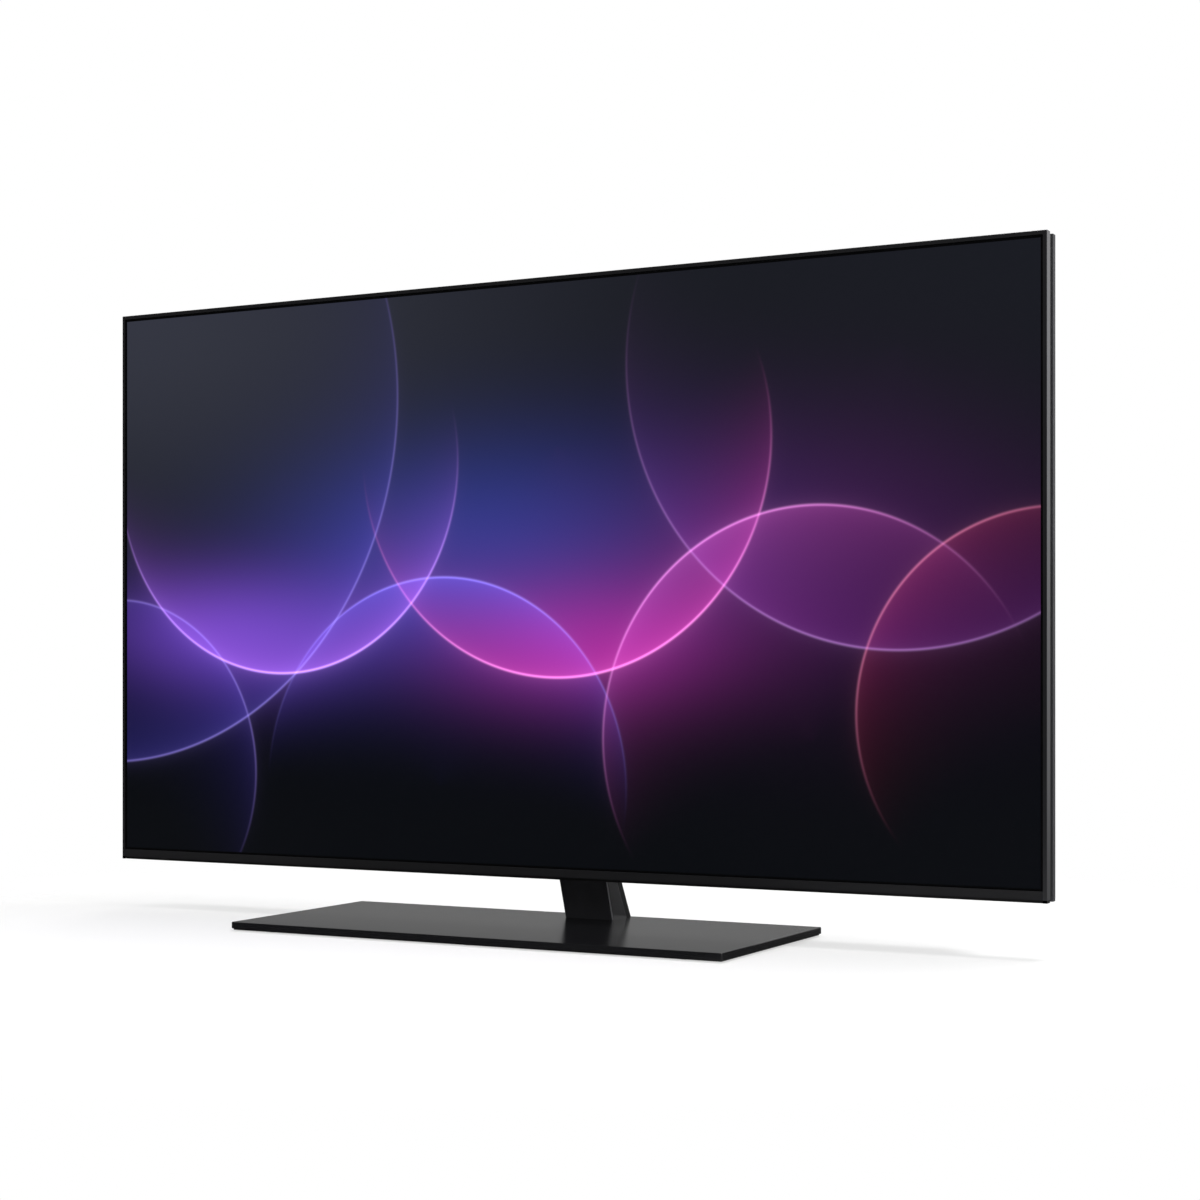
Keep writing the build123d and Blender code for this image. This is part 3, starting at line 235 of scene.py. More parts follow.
steel = finish("galvanised_steel")
crystal_size = 0.011
crystals = {"name": "spangle", "Scale": 1 / crystal_size, "Randomness": 1.0}
spangle = pattern(steel, "ShaderNodeTexVoronoi", crystals)
crystal = add(steel, "ShaderNodeSeparateColor", {0: spangle["Color"]}).outputs
shade(steel, {
    "Base Color": blend(steel, crystal[0], "#a4a8ab", "#c4c7c9"),
    "Roughness": ramp(steel, crystal[1], (0.0, 1.0), (0.34, 0.5), "LINEAR"),
    "Metallic": 1.0,
    "Normal": relief(steel, noise(steel, 0.002, 3.0), 0.00002),
})
dress(steel, "back_chassis", "mount_rails", "stand_bracket", "corner_brackets", "board_standoffs")

# Wall-mount nuts and their threads
# Turned from steel and electroplated, so their zinc is finer than the sheets'. An M6 thread, 1 mm from
# turn to turn, starts just inside each rear face, and its ridge is a wedge wound round the bore.


def choose(piece):
    """Only this piece is selected and active."""
    clear_selection()
    piece.select_set(True)
    bpy.context.view_layer.objects.active = piece


def edit(piece):
    """Only this piece is in edit mode, with nothing selected in it."""
    choose(piece)
    bpy.ops.object.mode_set(mode="EDIT")
    bpy.ops.mesh.select_all(action="DESELECT")


def settle(piece):
    """Back in object mode, with the piece's place in its mesh."""
    bpy.ops.object.mode_set(mode="OBJECT")
    choose(piece)
    bpy.ops.object.transform_apply(location=True, rotation=True, scale=True)


def copy_to(piece, x, y, z):
    """A copy with its own mesh, moved by these distances."""
    twin = piece.copy()
    twin.data = piece.data.copy()
    bpy.context.scene.collection.objects.link(twin)
    twin.location = (x, y, z)
    bpy.context.view_layer.update()
    choose(twin)
    bpy.ops.object.transform_apply(location=True, rotation=True, scale=True)
    return twin


def complete(piece, name, material):
    """Names a finished piece, gives it its material and slot, and lets it ride on the set."""
    piece.name = name
    piece.data.materials.clear()
    piece.data.materials.append(material)
    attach(piece, "television")


nut_zinc = steel.copy()
nut_zinc.name = "electroplated_zinc"
plating_grain = 0.0007
nut_zinc.node_tree.nodes["spangle"].inputs["Scale"].default_value = 1 / plating_grain
dress(nut_zinc, "vesa_nuts")
nut_rear = 0.1064
nut_columns = (-0.2, 0.2)
nut_rows = (0.2315, 0.4315)
thread_pitch = 0.001
thread_turns = 14
thread_start = nut_rear - thread_pitch * thread_turns
turn_steps = 24
ridge_half = 0.0004
ridge_radius = 0.00284
join_gap = 0.00001
clear_selection()
bpy.ops.mesh.primitive_circle_add(vertices=3, radius=ridge_half, fill_type="NOTHING",
                                  location=(ridge_radius, 0, 0), rotation=(0, 0, radians(90)))
thread = bpy.context.active_object
bpy.ops.object.transform_apply(location=True, rotation=True, scale=True)
winding = thread.modifiers.new("winding", "SCREW")
winding.axis = "Y"
winding.angle = 2 * pi
winding.screw_offset = thread_pitch
winding.iterations = thread_turns
winding.steps = turn_steps
winding.render_steps = turn_steps
bpy.ops.object.modifier_apply(modifier="winding")
edit(thread)
bpy.ops.mesh.select_all(action="SELECT")
bpy.ops.mesh.remove_doubles(threshold=join_gap)
bpy.ops.mesh.fill_holes(sides=4)
bpy.ops.mesh.select_all(action="SELECT")
bpy.ops.mesh.normals_make_consistent(inside=False)
bpy.ops.mesh.faces_shade_smooth()
bpy.ops.transform.translate(value=(nut_columns[0], thread_start, nut_rows[0]))
settle(thread)
places = [(x, z) for z in nut_rows for x in nut_columns]
for index, (x, z) in enumerate(places[1:], 2):
    twin = copy_to(thread, x - nut_columns[0], 0, z - nut_rows[0])
    complete(twin, f"mount_thread_{index}", nut_zinc)
complete(thread, "mount_thread_1", nut_zinc)

# Reflector sheet
# A white polyester film lies in the tray and throws the light forward. Foamed film is matte, with
# a faint mottle where its cells vary.


def coat(material, height, dark, pale, depth, settings):
    """The tone runs from dark to pale with a height pattern, which also turns the normals."""
    tone = blend(material, height, dark, pale)
    shade(material, {"Base Color": tone, "Normal": relief(material, height, depth), **settings})


film = finish("white_polyester_film")
coat(film, noise(film, 0.006, 4.0), "#eeeeea", "#f8f8f5", 0.00003, {"Roughness": 0.55})
dress(film, "reflector_sheet")

# Light bars and their lenses
# Aluminium-backed bars with a white solder mask over copper runs, about 4 mm apart, carry one diode
# every few centimetres. A moulded acrylic lens over each spreads its light.
copper_spacing = 0.012 * pi / 10


def bands(holder, spacing, axis, **more):
    """Bands this far apart in metres along an axis. At scale 1 they lie a tenth of pi apart."""
    settings = {"bands_direction": axis, "Scale": pi / 10 / spacing, **more}
    return pattern(holder, "ShaderNodeTexWave", settings)[1]


mask = finish("white_solder_mask")
coat(mask, bands(mask, copper_spacing, "Z"), "#e2e2dc", "#f3f3f0", 0.00004, {"Roughness": 0.4})
dress(mask, "led_bars")
acrylic = finish("moulded_clear_acrylic")
flow = noise(acrylic, 0.004, 2.0)
shade(acrylic, {
    "Base Color": "#f4f6f7",
    "Roughness": ramp(acrylic, flow, (0.0, 1.0), (0.04, 0.12), "LINEAR"),
    "IOR": 1.49,
    "Transmission Weight": 0.9,
    "Normal": relief(acrylic, flow, 0.00002),
})
dress(acrylic, "led_lenses")

# Diffuser plate and prism films
# An opal polystyrene plate evens the light out, and ribbed polyester films turn it forward. The
# films' ribs are finer than can show, so they are drawn as lines 0.8 mm apart.
opal = finish("opal_polystyrene")
coat(opal, noise(opal, 0.0015, 3.0), "#ecece6", "#f5f5f1", 0.00003, {"Roughness": 0.6})
dress(opal, "diffuser_plate")
prism = finish("ribbed_prism_film")
ribs = bands(prism, 0.0008, "Z", wave_profile="TRI")
coat(prism, ribs, "#d8dade", "#eceef0", 0.0002, {"Roughness": 0.25})
dress(prism, "prism_sheets")

# Mid frame
# Moulded in black glass-filled polycarbonate. It shows as the dark band behind the metal, matte,
# with a fine grain.
glassfilled = finish("glass_filled_polycarbonate")
coat(glassfilled, noise(glassfilled, 0.0012, 4.0), "#212123", "#2d2d2f", 0.00006,
     {"Roughness": 0.55, "IOR": 1.58})
dress(glassfilled, "mid_frame")

# LCD cell with its picture
# Two sheets of glass with an anti-reflection coat over the lit area, and a black printed border
# round it. The picture is a plain design of overlapping rings of light, blue through violet to red.
cell = finish("lit_display_glass")
picture_low = 0.0765
picture_half_width = 0.6048
picture_half_height = 0.3402
rim_half = 0.0015
haze_reach = 0.008
haze_share = 0.1
pale_share = 0.25
cell_place = add(cell, "ShaderNodeTexCoord").outputs["Object"]
centred = calc_vector(cell, "SUBTRACT", cell_place, (0.0, 0.0, picture_low + picture_half_height))
flat = calc_vector(cell, "MULTIPLY", centred, (1.0, 0.0, 1.0))
across = add(cell, "ShaderNodeSeparateXYZ", {0: flat}).outputs


def scaled(colour, amount, factor):
    """A colour times a linked amount and a factor."""
    return calc_vector(cell, "SCALE", [part * factor for part in linear(colour)[:3]], amount)


def times(first, second):
    """Two amounts multiplied."""
    return calc(cell, "MULTIPLY", first, second)


def fall(amount, factor):
    """The exponential of an amount times a factor."""
    return calc(cell, "EXPONENT", times(amount, factor))


def soft_glow(x, z, wide, high, colour, factor):
    """A soft oval of light."""
    away = calc_vector(cell, "SUBTRACT", flat, (x, 0.0, z))
    even = calc_vector(cell, "MULTIPLY", away, (1 / wide, 0.0, 1 / high))
    return scaled(colour, fall(calc_vector(cell, "DOT_PRODUCT", even, even), -1.0), factor)


def light_ring(x, z, radius, turn, colour, rim, fill, fade, spread):
    """A ring with a thin bright rim, brightest towards one side, whose light fades inwards."""
    brightest = (cos(radians(turn)), 0.0, sin(radians(turn)))
    away = calc_vector(cell, "SUBTRACT", flat, (x, 0.0, z))
    facing = calc_vector(cell, "DOT_PRODUCT", calc_vector(cell, "NORMALIZE", away), brightest)
    side = calc(cell, "MULTIPLY_ADD", facing, 1 / (1 + spread), spread / (1 + spread), clamp=True)
    lit = times(side, side)
    gap = calc(cell, "SUBTRACT", calc_vector(cell, "LENGTH", away), radius)
    line = fall(times(gap, gap), -1 / rim_half ** 2)
    haze = fall(calc(cell, "ABSOLUTE", gap), -1 / haze_reach)
    strong = times(lit, calc(cell, "MULTIPLY_ADD", haze, haze_share, line))
    body = times(calc(cell, "LESS_THAN", gap, 0.0), fall(gap, 1 / fade))
    own = scaled(colour, strong, rim * (1 - pale_share))
    pale = scaled("#f0d8ff", strong, rim * pale_share)
    inside = scaled(colour, times(lit, body), fill)
    return calc_vector(cell, "ADD", calc_vector(cell, "ADD", own, pale), inside)


# The picture turns greyer towards the top and the left.
top_share = ramp(cell, across["Z"], (-0.12, 0.34), (0.0, 1.0))
left_share = ramp(cell, across["X"], (0.3, -0.62), (0.22, 1.0))
top_left_grey = scaled("#363843", times(top_share, left_share), 0.85)
light = calc_vector(cell, "ADD", linear("#07090d")[:3], top_left_grey)
for part in (
    soft_glow(-0.08, 0.03, 0.26, 0.12, "#3c4cc0", 0.45),
    soft_glow(-0.44, -0.06, 0.18, 0.07, "#7a4ad0", 0.55),
    soft_glow(0.05, -0.08, 0.17, 0.07, "#b0209a", 0.40),
    soft_glow(0.34, 0.02, 0.24, 0.14, "#5a1f6a", 0.30),
    light_ring(-0.64, 0.22, 0.45, -58, "#5a50d8", 0.45, 0.16, 0.08, 0.2),
    light_ring(-0.36, 0.14, 0.255, -84, "#a860f0", 1.25, 0.55, 0.045, 0.2),
    light_ring(-0.13, -0.25, 0.25, 84, "#6a60ff", 0.55, 0.30, 0.05, 0.1),
    light_ring(0.03, 0.15, 0.27, -78, "#d838b0", 1.25, 0.50, 0.055, 0.2),
    light_ring(0.35, -0.19, 0.26, 118, "#d050c0", 0.75, 0.26, 0.06, 0.1),
    light_ring(0.45, 0.24, 0.33, -104, "#8a30a8", 0.5, 0.20, 0.08, 0.2),
    light_ring(0.62, -0.16, 0.22, 132, "#d02a62", 0.5, 0.12, 0.05, 0.0),
    light_ring(-0.62, -0.24, 0.22, 54, "#5a48d0", 0.4, 0.14, 0.05, 0.2),
):
    light = calc_vector(cell, "ADD", light, part)
within_x = calc(cell, "LESS_THAN", calc(cell, "ABSOLUTE", across["X"]), picture_half_width)
within_z = calc(cell, "LESS_THAN", calc(cell, "ABSOLUTE", across["Z"]), picture_half_height)
shade(cell, {
    "Base Color": "#050506",
    "Roughness": 0.12,
    "IOR": 1.5,
    "Specular IOR Level": 0.16,
    "Emission Color": calc_vector(cell, "SCALE", light, times(within_x, within_z)),
    "Emission Strength": 1.0,
})
dress(cell, "lcd_cell")

# Source boards, panel ribbons and timing ribbons
# The boards are green glass-epoxy, and the ribbons amber polyimide with copper conductors side by side,
# drawn 1 mm apart.
amber = finish("polyimide_ribbon")
coat(amber, bands(amber, 0.001, "X"), "#8a5a1c", "#c88a3a", 0.00005, {"Roughness": 0.3})
dress(amber, "panel_ribbons", "timing_ribbons")
board = finish("green_glass_epoxy")
board_place = add(board, "ShaderNodeTexCoord").outputs["Object"]
upright = {"Vector": board_place, "Rotation": (radians(90), 0.0, 0.0)}
tracks = add(board, "ShaderNodeTexBrick", {
    "Vector": add(board, "ShaderNodeMapping", upright).outputs[0], "Scale": 1.0,
    "Color1": "#0c4a28", "Color2": "#115932", "Mortar": "#2c8050",
    "Mortar Size": 0.0003, "Brick Width": 0.009, "Row Height": 0.0025,
}).outputs
track_relief = relief(board, tracks["Fac"], 0.00004)
shade(board, {"Base Color": tracks["Color"], "Roughness": 0.32, "Normal": track_relief})
dress(board, "source_boards", "sensor_board", "main_board", "power_board", "timing_board",
      "radio_module")

# Metal frame
# Three aluminium extrusions, mitred at the top corners, brushed along their length and anodised dark.
# The uprights' lower ends are painted near-black as high as the step under the trim, as painted shade.
painted_shade_top = 0.0646
# The brushing is finer than can show, so its lines are drawn 0.5 mm apart and 60 mm long.
brush_gap = 0.0005
brush_length = 0.06


def streaks(holder, *lengths):
    """Noise drawn out to streaks of these lengths in metres along X, Y and Z."""
    place = add(holder, "ShaderNodeTexCoord").outputs["Object"]
    stretch = {"name": "stretch", "Vector": place, "Scale": [1 / length for length in lengths]}
    drawn = add(holder, "ShaderNodeMapping", stretch).outputs[0]
    return add(holder, "ShaderNodeTexNoise", {"Vector": drawn, "Scale": 1.0, "Detail": 2.0}).outputs[0]


def cover(material, share, code):
    """Where the share is 1, this colour takes the place of the surface's own."""
    own = material.node_tree.nodes["Principled BSDF"].inputs["Base Color"].links[0].from_socket
    shade(material, {"Base Color": blend(material, share, own, code)})


anodised = finish("dark_anodised_aluminium")
coat(anodised, streaks(anodised, brush_gap, brush_gap, brush_length), "#68686c", "#828286", 0.00001,
     {"Metallic": 1.0, "Roughness": 0.33})
# Painted shade: below the height of the trim's step the colour is near-black.
cover(anodised, calc(anodised, "LESS_THAN", axes(anodised)["Z"], painted_shade_top), "#060607")
dress(anodised, "frame_left", "frame_right")
anodised_top = anodised.copy()
anodised_top.name = "dark_anodised_aluminium_top"
along_top = (1 / brush_length, 1 / brush_gap, 1 / brush_gap)
anodised_top.node_tree.nodes["stretch"].inputs["Scale"].default_value = along_top
dress(anodised_top, "frame_top")

# Lower trim
# A folded strip of aluminium under the screen, powder coated black with a satin face; its step is
# painted near-black as painted shade.
# The coat has a fine orange peel of about 1 mm.
coated = finish("black_powder_coat")
coat(coated, noise(coated, 0.001, 3.0), "#18181a", "#202023", 0.00003, {"Roughness": 0.4})
# Painted shade: below the step's top the coat is near-black.
cover(coated, calc(coated, "LESS_THAN", axes(coated)["Z"], painted_shade_top), "#050506")
dress(coated, "bottom_trim")

# Sensor window
# Smoked acrylic that lets infrared light through to the receiver, glossy and nearly black, with a
# trace of wine red.
smoked = finish("smoked_acrylic")
smoke = blend(smoked, noise(smoked, 0.003, 2.0), "#120508", "#1c0a0e")
shade(smoked, {"Base Color": smoke, "Roughness": 0.06, "IOR": 1.49})
dress(smoked, "sensor_window")

# Chips, headphone socket, speaker boxes and mains inlet
# Black epoxy chips and moulded black housings. The inlet's two pins are plated with nickel.
pin_radius = 0.0014
pin_from_middle = 0.0043
inlet_middle = (0.0, 0.0754, 0.2515)
moulded = finish("black_moulded_polyester")
coat(moulded, noise(moulded, 0.0008, 3.0), "#111113", "#1b1b1e", 0.00003, {"Roughness": 0.5})
dress(moulded, "main_chips", "headphone_socket", "speaker_box_left", "speaker_box_right")
inlet = moulded.copy()
inlet.name = "inlet_nylon_and_nickel_pins"
inlet_place = add(inlet, "ShaderNodeTexCoord").outputs["Object"]
inlet_fold = calc_vector(inlet, "ABSOLUTE", calc_vector(inlet, "SUBTRACT", inlet_place, inlet_middle))
pin_away = calc_vector(inlet, "SUBTRACT", inlet_fold, (0.0, 0.0, pin_from_middle))
pin_reach = calc_vector(inlet, "LENGTH", calc_vector(inlet, "MULTIPLY", pin_away, (0.0, 1.0, 1.0)))
pin = calc(inlet, "LESS_THAN", pin_reach, pin_radius)
cover(inlet, pin, "#c4c0b6")
shade(inlet, {"Metallic": pin})
dress(inlet, "mains_inlet")

# Transformers and capacitors
# Transformers are wound in yellow tape, 1.6 mm from turn to turn. Capacitors stand in a dark sleeve
# with a bare metal end.
sleeve_end = 0.0979
taped = finish("yellow_winding_tape")
coat(taped, bands(taped, 0.0016, "Z"), "#8c6a14", "#d8b23c", 0.0001, {"Roughness": 0.35})
dress(taped, "power_transformers")
sleeve = finish("capacitor_sleeve")
bare_end = calc(sleeve, "GREATER_THAN", axes(sleeve)["Y"], sleeve_end)
sleeve_tone = blend(sleeve, noise(sleeve, 0.002, 2.0), "#14151c", "#1e2029")
shade(sleeve, {"Base Color": sleeve_tone, "Metallic": bare_end, "Roughness": 0.35})
cover(sleeve, bare_end, "#b4b6b8")
dress(sleeve, "power_capacitors")

# Coolers
# Sawn from extruded aluminium, left bare. The die leaves fine lines along the fins.
extruded = finish("bare_extruded_aluminium")
coat(extruded, streaks(extruded, 0.0005, 0.0005, 0.03), "#b2b4b6", "#d0d2d4", 0.00002,
     {"Metallic": 1.0, "Roughness": 0.4})
dress(extruded, "main_heat_sink", "power_heat_sinks")

# Antenna socket and speaker drivers
# Stamped and folded from thin steel and plated with nickel, which keeps a warm, even shine.
plated = finish("nickel_plated_steel")
coat(plated, noise(plated, 0.0015, 2.0), "#a8a49a", "#c6c2b8", 0.00001,
     {"Metallic": 1.0, "Roughness": 0.26})
dress(plated, "antenna_socket", "speaker_driver_left", "speaker_driver_right")

# HDMI and USB sockets
# Folded from the same plated steel round a black nylon tongue. The sockets stand 24 mm apart, and the
# tongue's gold-plated contacts lie in rows 1 mm apart in HDMI and 2.5 mm apart in USB.
socket_pitch = 0.024
socket_rows = [0.1995 + socket_pitch * index for index in range(5)]
hdmi_rows = socket_rows[:3]
usb_rows = socket_rows[3:]
tongue_half_width = 0.00595
tongue_half_thickness = 0.00105
tongue_middle = 0.07155
hdmi_pitch = 0.001
usb_pitch = 0.0025
sockets = plated.copy()
sockets.name = "plated_shell_black_tongue"
socket_place = axes(sockets)
first_span = (socket_rows[0] + socket_pitch / 2, socket_rows[0] - socket_pitch / 2)
socket_z = calc(sockets, "WRAP", socket_place["Z"], *first_span)
in_width = calc(sockets, "COMPARE", socket_z, socket_rows[0], tongue_half_width)
in_thickness = calc(sockets, "COMPARE", socket_place["Y"], tongue_middle, tongue_half_thickness)
tongue = calc(sockets, "MULTIPLY", in_width, in_thickness)
cover(sockets, tongue, "#151517")
shade(sockets, {"Metallic": calc(sockets, "SUBTRACT", 1.0, tongue)})
dress(sockets, "hdmi_sockets", "usb_sockets")
gilt = finish("gold_plated_contact")
coat(gilt, noise(gilt, 0.0006, 2.0), "#c89a4a", "#e4bc6c", 0.00001, {"Metallic": 1.0, "Roughness": 0.22})


def pick(piece, wanted, kind="polygons"):
    """Selects the faces whose middle and normal, or the edges whose ends, pass a test, in edit mode."""
    edit(piece)
    bpy.ops.mesh.select_mode(type="FACE" if kind == "polygons" else "EDGE")
    bpy.ops.object.mode_set(mode="OBJECT")
    for part in getattr(piece.data, kind):
        if kind == "polygons":
            part.select = wanted(part.center, part.normal)
        else:
            ends = [piece.data.vertices[index].co for index in part.vertices]
            part.select = all(wanted(end, end) for end in ends)
    bpy.ops.object.mode_set(mode="EDIT")


def repeat_up(piece, count, pitch):
    """A row of the piece, one above the other."""
    settle(piece)
    repeat = piece.modifiers.new("repeat", "ARRAY")
    repeat.count = count
    repeat.use_relative_offset = False
    repeat.use_constant_offset = True
    repeat.constant_offset_displace = (0, 0, pitch)
    bpy.ops.object.modifier_apply(modifier="repeat")


def contact_row(low, high, start_z, pitch, count, turned_end):
    """Contact strips side by side, between two corners of the first one, with a chamfer at the mouth."""
    clear_selection()
    middle = [(a + b) / 2 for a, b in zip(low, high)]
    bpy.ops.mesh.primitive_cube_add(size=1.0, location=(middle[0], middle[1], start_z))
    row = bpy.context.active_object
    row.scale = (high[0] - low[0], high[1] - low[1], high[2] - low[2])
    settle(row)
    outer = high[1] if turned_end > 0 else low[1]
    pick(row, lambda end, _: abs(end.x - low[0]) < 1e-6 and abs(end.y - outer) < 1e-6, "edges")
    chamfer_share = 0.8
    bpy.ops.mesh.bevel(offset=chamfer_share * (high[1] - low[1]), segments=2)
    repeat_up(row, count, pitch)
    return row


hdmi_first = hdmi_rows[0] - 0.0045
usb_first = usb_rows[0] - 0.0035
upper = contact_row((-0.4384, 0.07198, 0), (-0.4296, 0.0721, 0.0005), hdmi_first, hdmi_pitch, 10, 1)
lower = contact_row((-0.4384, 0.0705, 0), (-0.4296, 0.07062, 0.0005), hdmi_first + hdmi_pitch / 2,
                    hdmi_pitch, 9, -1)
near = contact_row((-0.4382, 0.07058, 0), (-0.4274, 0.07072, 0.001), usb_first, usb_pitch, 2, -1)
usb_far_side = 0.0045
far = copy_to(near, 0, 0, usb_far_side)
contact_sets = [
    ("hdmi_contacts", hdmi_rows, {"upper": upper, "lower": lower}),
    ("usb_contacts", usb_rows, {"near": near, "far": far}),
]
for name, rows, firsts in contact_sets:
    for index, z in enumerate(rows, 1):
        for side, first in firsts.items():
            twin = copy_to(first, 0, 0, z - rows[0])
            complete(twin, f"{name}_{side}_{index}", gilt)
for spare in (upper, lower, near, far):
    bpy.data.objects.remove(spare)

# Network socket
# A black nylon jack in which eight gold-plated springs, 1 mm apart, slope up from the floor of its
# mouth towards the back.
spring_count = 8
spring_pitch = 0.00102
spring_thickness = 0.00045
spring_first = (-0.4392, 0.0706, 0.3195 - (spring_count - 1) / 2 * spring_pitch)
dress(moulded, "lan_socket")
clear_selection()
bpy.ops.mesh.primitive_cube_add(size=spring_thickness, location=spring_first)
spring = bpy.context.active_object
settle(spring)
pick(spring, lambda middle, normal: normal.x > 0.9)
for run in ((0.0015, 0, 0), (0.0008, 0.0002, 0), (0.0085, 0.0042, 0)):
    bpy.ops.mesh.extrude_region_move(TRANSFORM_OT_translate={"value": run})
repeat_up(spring, spring_count, spring_pitch)
complete(spring, "network_springs", gilt)

# Speaker cones
# Pressed from dark paper pulp. Faint rings 2 mm apart run round the cone, and the pulp leaves a soft,
# fibrous face.
ring_pitch = 0.002
cone_axis = (0.34, 0.081, 0.0)
pulp = finish("dark_paper_pulp")
pulp_place = add(pulp, "ShaderNodeTexCoord").outputs["Object"]
from_axis = calc_vector(pulp, "SUBTRACT", calc_vector(pulp, "ABSOLUTE", pulp_place), cone_axis)
level = calc_vector(pulp, "MULTIPLY", from_axis, (1.0, 1.0, 0.0))
ringed = {"wave_type": "RINGS", "rings_direction": "Z", "Vector": level, "Scale": pi / 10 / ring_pitch}
rings = add(pulp, "ShaderNodeTexWave", ringed).outputs[1]
pulp_tone = blend(pulp, noise(pulp, 0.001, 4.0), "#1a1a1b", "#2a2a2b")
shade(pulp, {"Base Color": pulp_tone, "Roughness": 0.8, "Normal": relief(pulp, rings, 0.0002)})
dress(pulp, "speaker_cone_left", "speaker_cone_right")

# Leads
# Copper strands in soft black PVC, gathered into round bundles with a moulded plug at each board.
pvc = finish("soft_black_pvc")
coat(pvc, noise(pvc, 0.0015, 3.0), "#161617", "#232324", 0.00004, {"Roughness": 0.42})
dress(pvc, "speaker_leads", "board_leads")

# Rear cover and power key
# Injection moulded in black ABS with a spark-eroded texture, which breaks the light up evenly. The
# texture is finer than can show, so its grains are drawn 1 mm across.
textured = finish("spark_textured_abs")
sink_mark = noise(textured, 0.12, 1.0)
coat(textured, noise(textured, 0.001, 5.0, Roughness=0.6), "#323235", "#404044", 0.00012,
     {"Roughness": ramp(textured, sink_mark, (0.0, 1.0), (0.46, 0.58), "LINEAR"), "IOR": 1.53})
dress(textured, "rear_cover", "power_key")

# Screws
# Cold-headed steel with a black zinc finish, whose shine is broken by a fine grain.
blackened = finish("black_zinc_steel")
coat(blackened, noise(blackened, 0.0007, 3.0), "#2c2c2e", "#46464a", 0.00001,
     {"Metallic": 1.0, "Roughness": 0.36})
dress(blackened, "cover_screws", "neck_screws", "base_screws", "board_screws")

# Cover screws
# Nine of them clamp the rear cover's flat edge to the chassis. Each low pan head is 7 mm across with a
# softly rounded rim and a cross recess for the driver.
head_radius = 0.0035
head_high = 0.0015
head_seat = 0.06
rim_round = 0.0006
shank_radius = 0.0015
shank_length = 0.008
recess_length = 0.0038
recess_width = 0.00075
recess_high = 0.0018
recess_taper = 0.4
clear_selection()
bpy.ops.mesh.primitive_cylinder_add(vertices=40, radius=head_radius, depth=head_high,
                                    location=(0, head_seat + head_high / 2, 0),
                                    rotation=(radians(90), 0, 0))
cover_screw = bpy.context.active_object
settle(cover_screw)
pick(cover_screw, lambda middle, normal: normal.y < -0.9)
bpy.ops.mesh.inset(thickness=head_radius - shank_radius)
bpy.ops.mesh.extrude_region_move(TRANSFORM_OT_translate={"value": (0, -shank_length, 0)})
settle(cover_screw)
pick(cover_screw, lambda end, _: end.y > head_seat + head_high - 1e-6, "edges")
bpy.ops.mesh.bevel(offset=rim_round, segments=4)
settle(cover_screw)
for turn in (0, 90):
    clear_selection()
    bpy.ops.mesh.primitive_cube_add(size=1.0, location=(0, head_seat + head_high, 0),
                                    rotation=(0, radians(turn), 0))
    driver = bpy.context.active_object
    driver.scale = (recess_length, recess_high, recess_width)
    settle(driver)
    pick(driver, lambda middle, normal: normal.y < -0.9)
    bpy.ops.transform.resize(value=(recess_taper, 1.0, recess_taper))
    settle(driver)
    choose(cover_screw)
    recess = cover_screw.modifiers.new("recess", "BOOLEAN")
    recess.operation = "DIFFERENCE"
    recess.solver = "EXACT"
    recess.object = driver
    bpy.ops.object.modifier_apply(modifier="recess")
    bpy.data.objects.remove(driver)
choose(cover_screw)
bpy.ops.object.shade_smooth_by_angle(angle=radians(35))
side_rows = (0.1255, 0.41475, 0.704)
side_column = 0.5514
top_column = 0.2817
screw_places = [(x, z) for x in (-side_column, side_column) for z in side_rows]
screw_places += [(x, side_rows[-1]) for x in (-top_column, 0.0, top_column)]
for index, (x, z) in enumerate(screw_places, 1):
    twin = copy_to(cover_screw, x, 0, z)
    complete(twin, f"cover_screw_{index}", blackened)
    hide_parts("cover_screws")
bpy.data.objects.remove(cover_screw)

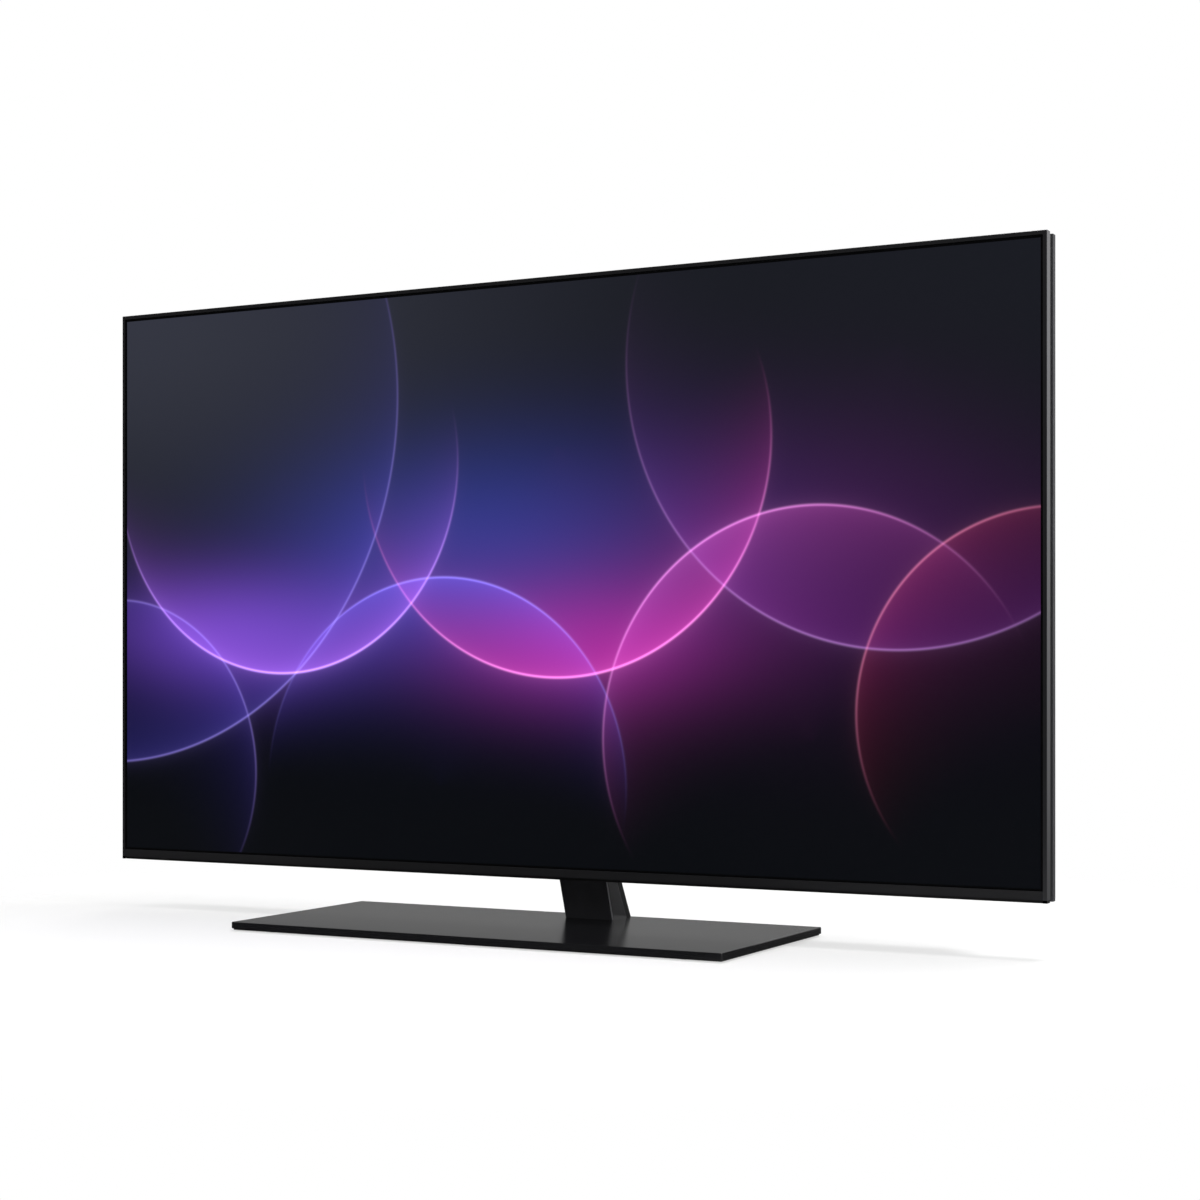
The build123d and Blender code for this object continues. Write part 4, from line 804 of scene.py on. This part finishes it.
# Neck
# The front cover over the cast core is moulded in glossy black ABS, with a painted highlight as a pale
# line along its edge.
# Its gloss has a faint wave, so its reflections run in soft vertical streaks.
rake_slope = 0.3392
front_at_floor = 0.09156
highlight_behind = 0.0019
highlight_half = 0.0008
gloss = finish("gloss_black_abs")
coat(gloss, streaks(gloss, 0.02, 0.02, 0.08), "#2c2c2e", "#363639", 0.0002,
     {"Roughness": 0.14, "IOR": 1.53})
gloss_place = axes(gloss)
rake = calc(gloss, "MULTIPLY_ADD", gloss_place["Z"], rake_slope, -front_at_floor)
behind_front = calc(gloss, "ADD", gloss_place["Y"], rake)
# Painted highlight: a pale line a little behind the front face, along the edge.
cover(gloss, calc(gloss, "COMPARE", behind_front, highlight_behind, highlight_half), "#8a8a8e")
dress(gloss, "neck_front_cover")

# Base shell
# A pressed steel shell with a satin black coat over fine brushing, which mirrors the neck softly. The
# brushing runs along the base and is drawn with lines 0.6 mm apart.
satin = finish("satin_black_coat")
coat(satin, streaks(satin, 0.08, 0.0006, 0.0006), "#121214", "#1b1b1d", 0.000004,
     {"Roughness": 0.2, "Specular IOR Level": 0.3})
dress(satin, "base_shell")

# Base plate and neck core
# A thick steel plate gives the stand its weight and carries the cast neck. Both are zinc plated.
zinced = finish("zinc_plated_steel")
coat(zinced, noise(zinced, 0.008, 4.0), "#7c7e80", "#a2a4a6", 0.00003,
     {"Metallic": 1.0, "Roughness": 0.4})
dress(zinced, "base_plate", "neck_core")

# Bottom cover and the neck's rear cover
# A moulded tray of matte black ABS closes the base from below, and a strip of the same closes the neck.
matte = finish("matte_black_abs")
coat(matte, noise(matte, 0.001, 4.0), "#0e0e0f", "#161617", 0.00006,
     {"Roughness": 0.6, "Specular IOR Level": 0.3})
dress(matte, "base_bottom_cover", "neck_rear_cover")

# Feet
# Die-cut discs of black rubber glued under the base. Their open face is dull and finely pitted.
rubber = finish("black_rubber")
coat(rubber, noise(rubber, 0.0009, 4.0), "#151515", "#202020", 0.00008, {"Roughness": 0.85})
dress(rubber, "base_feet")
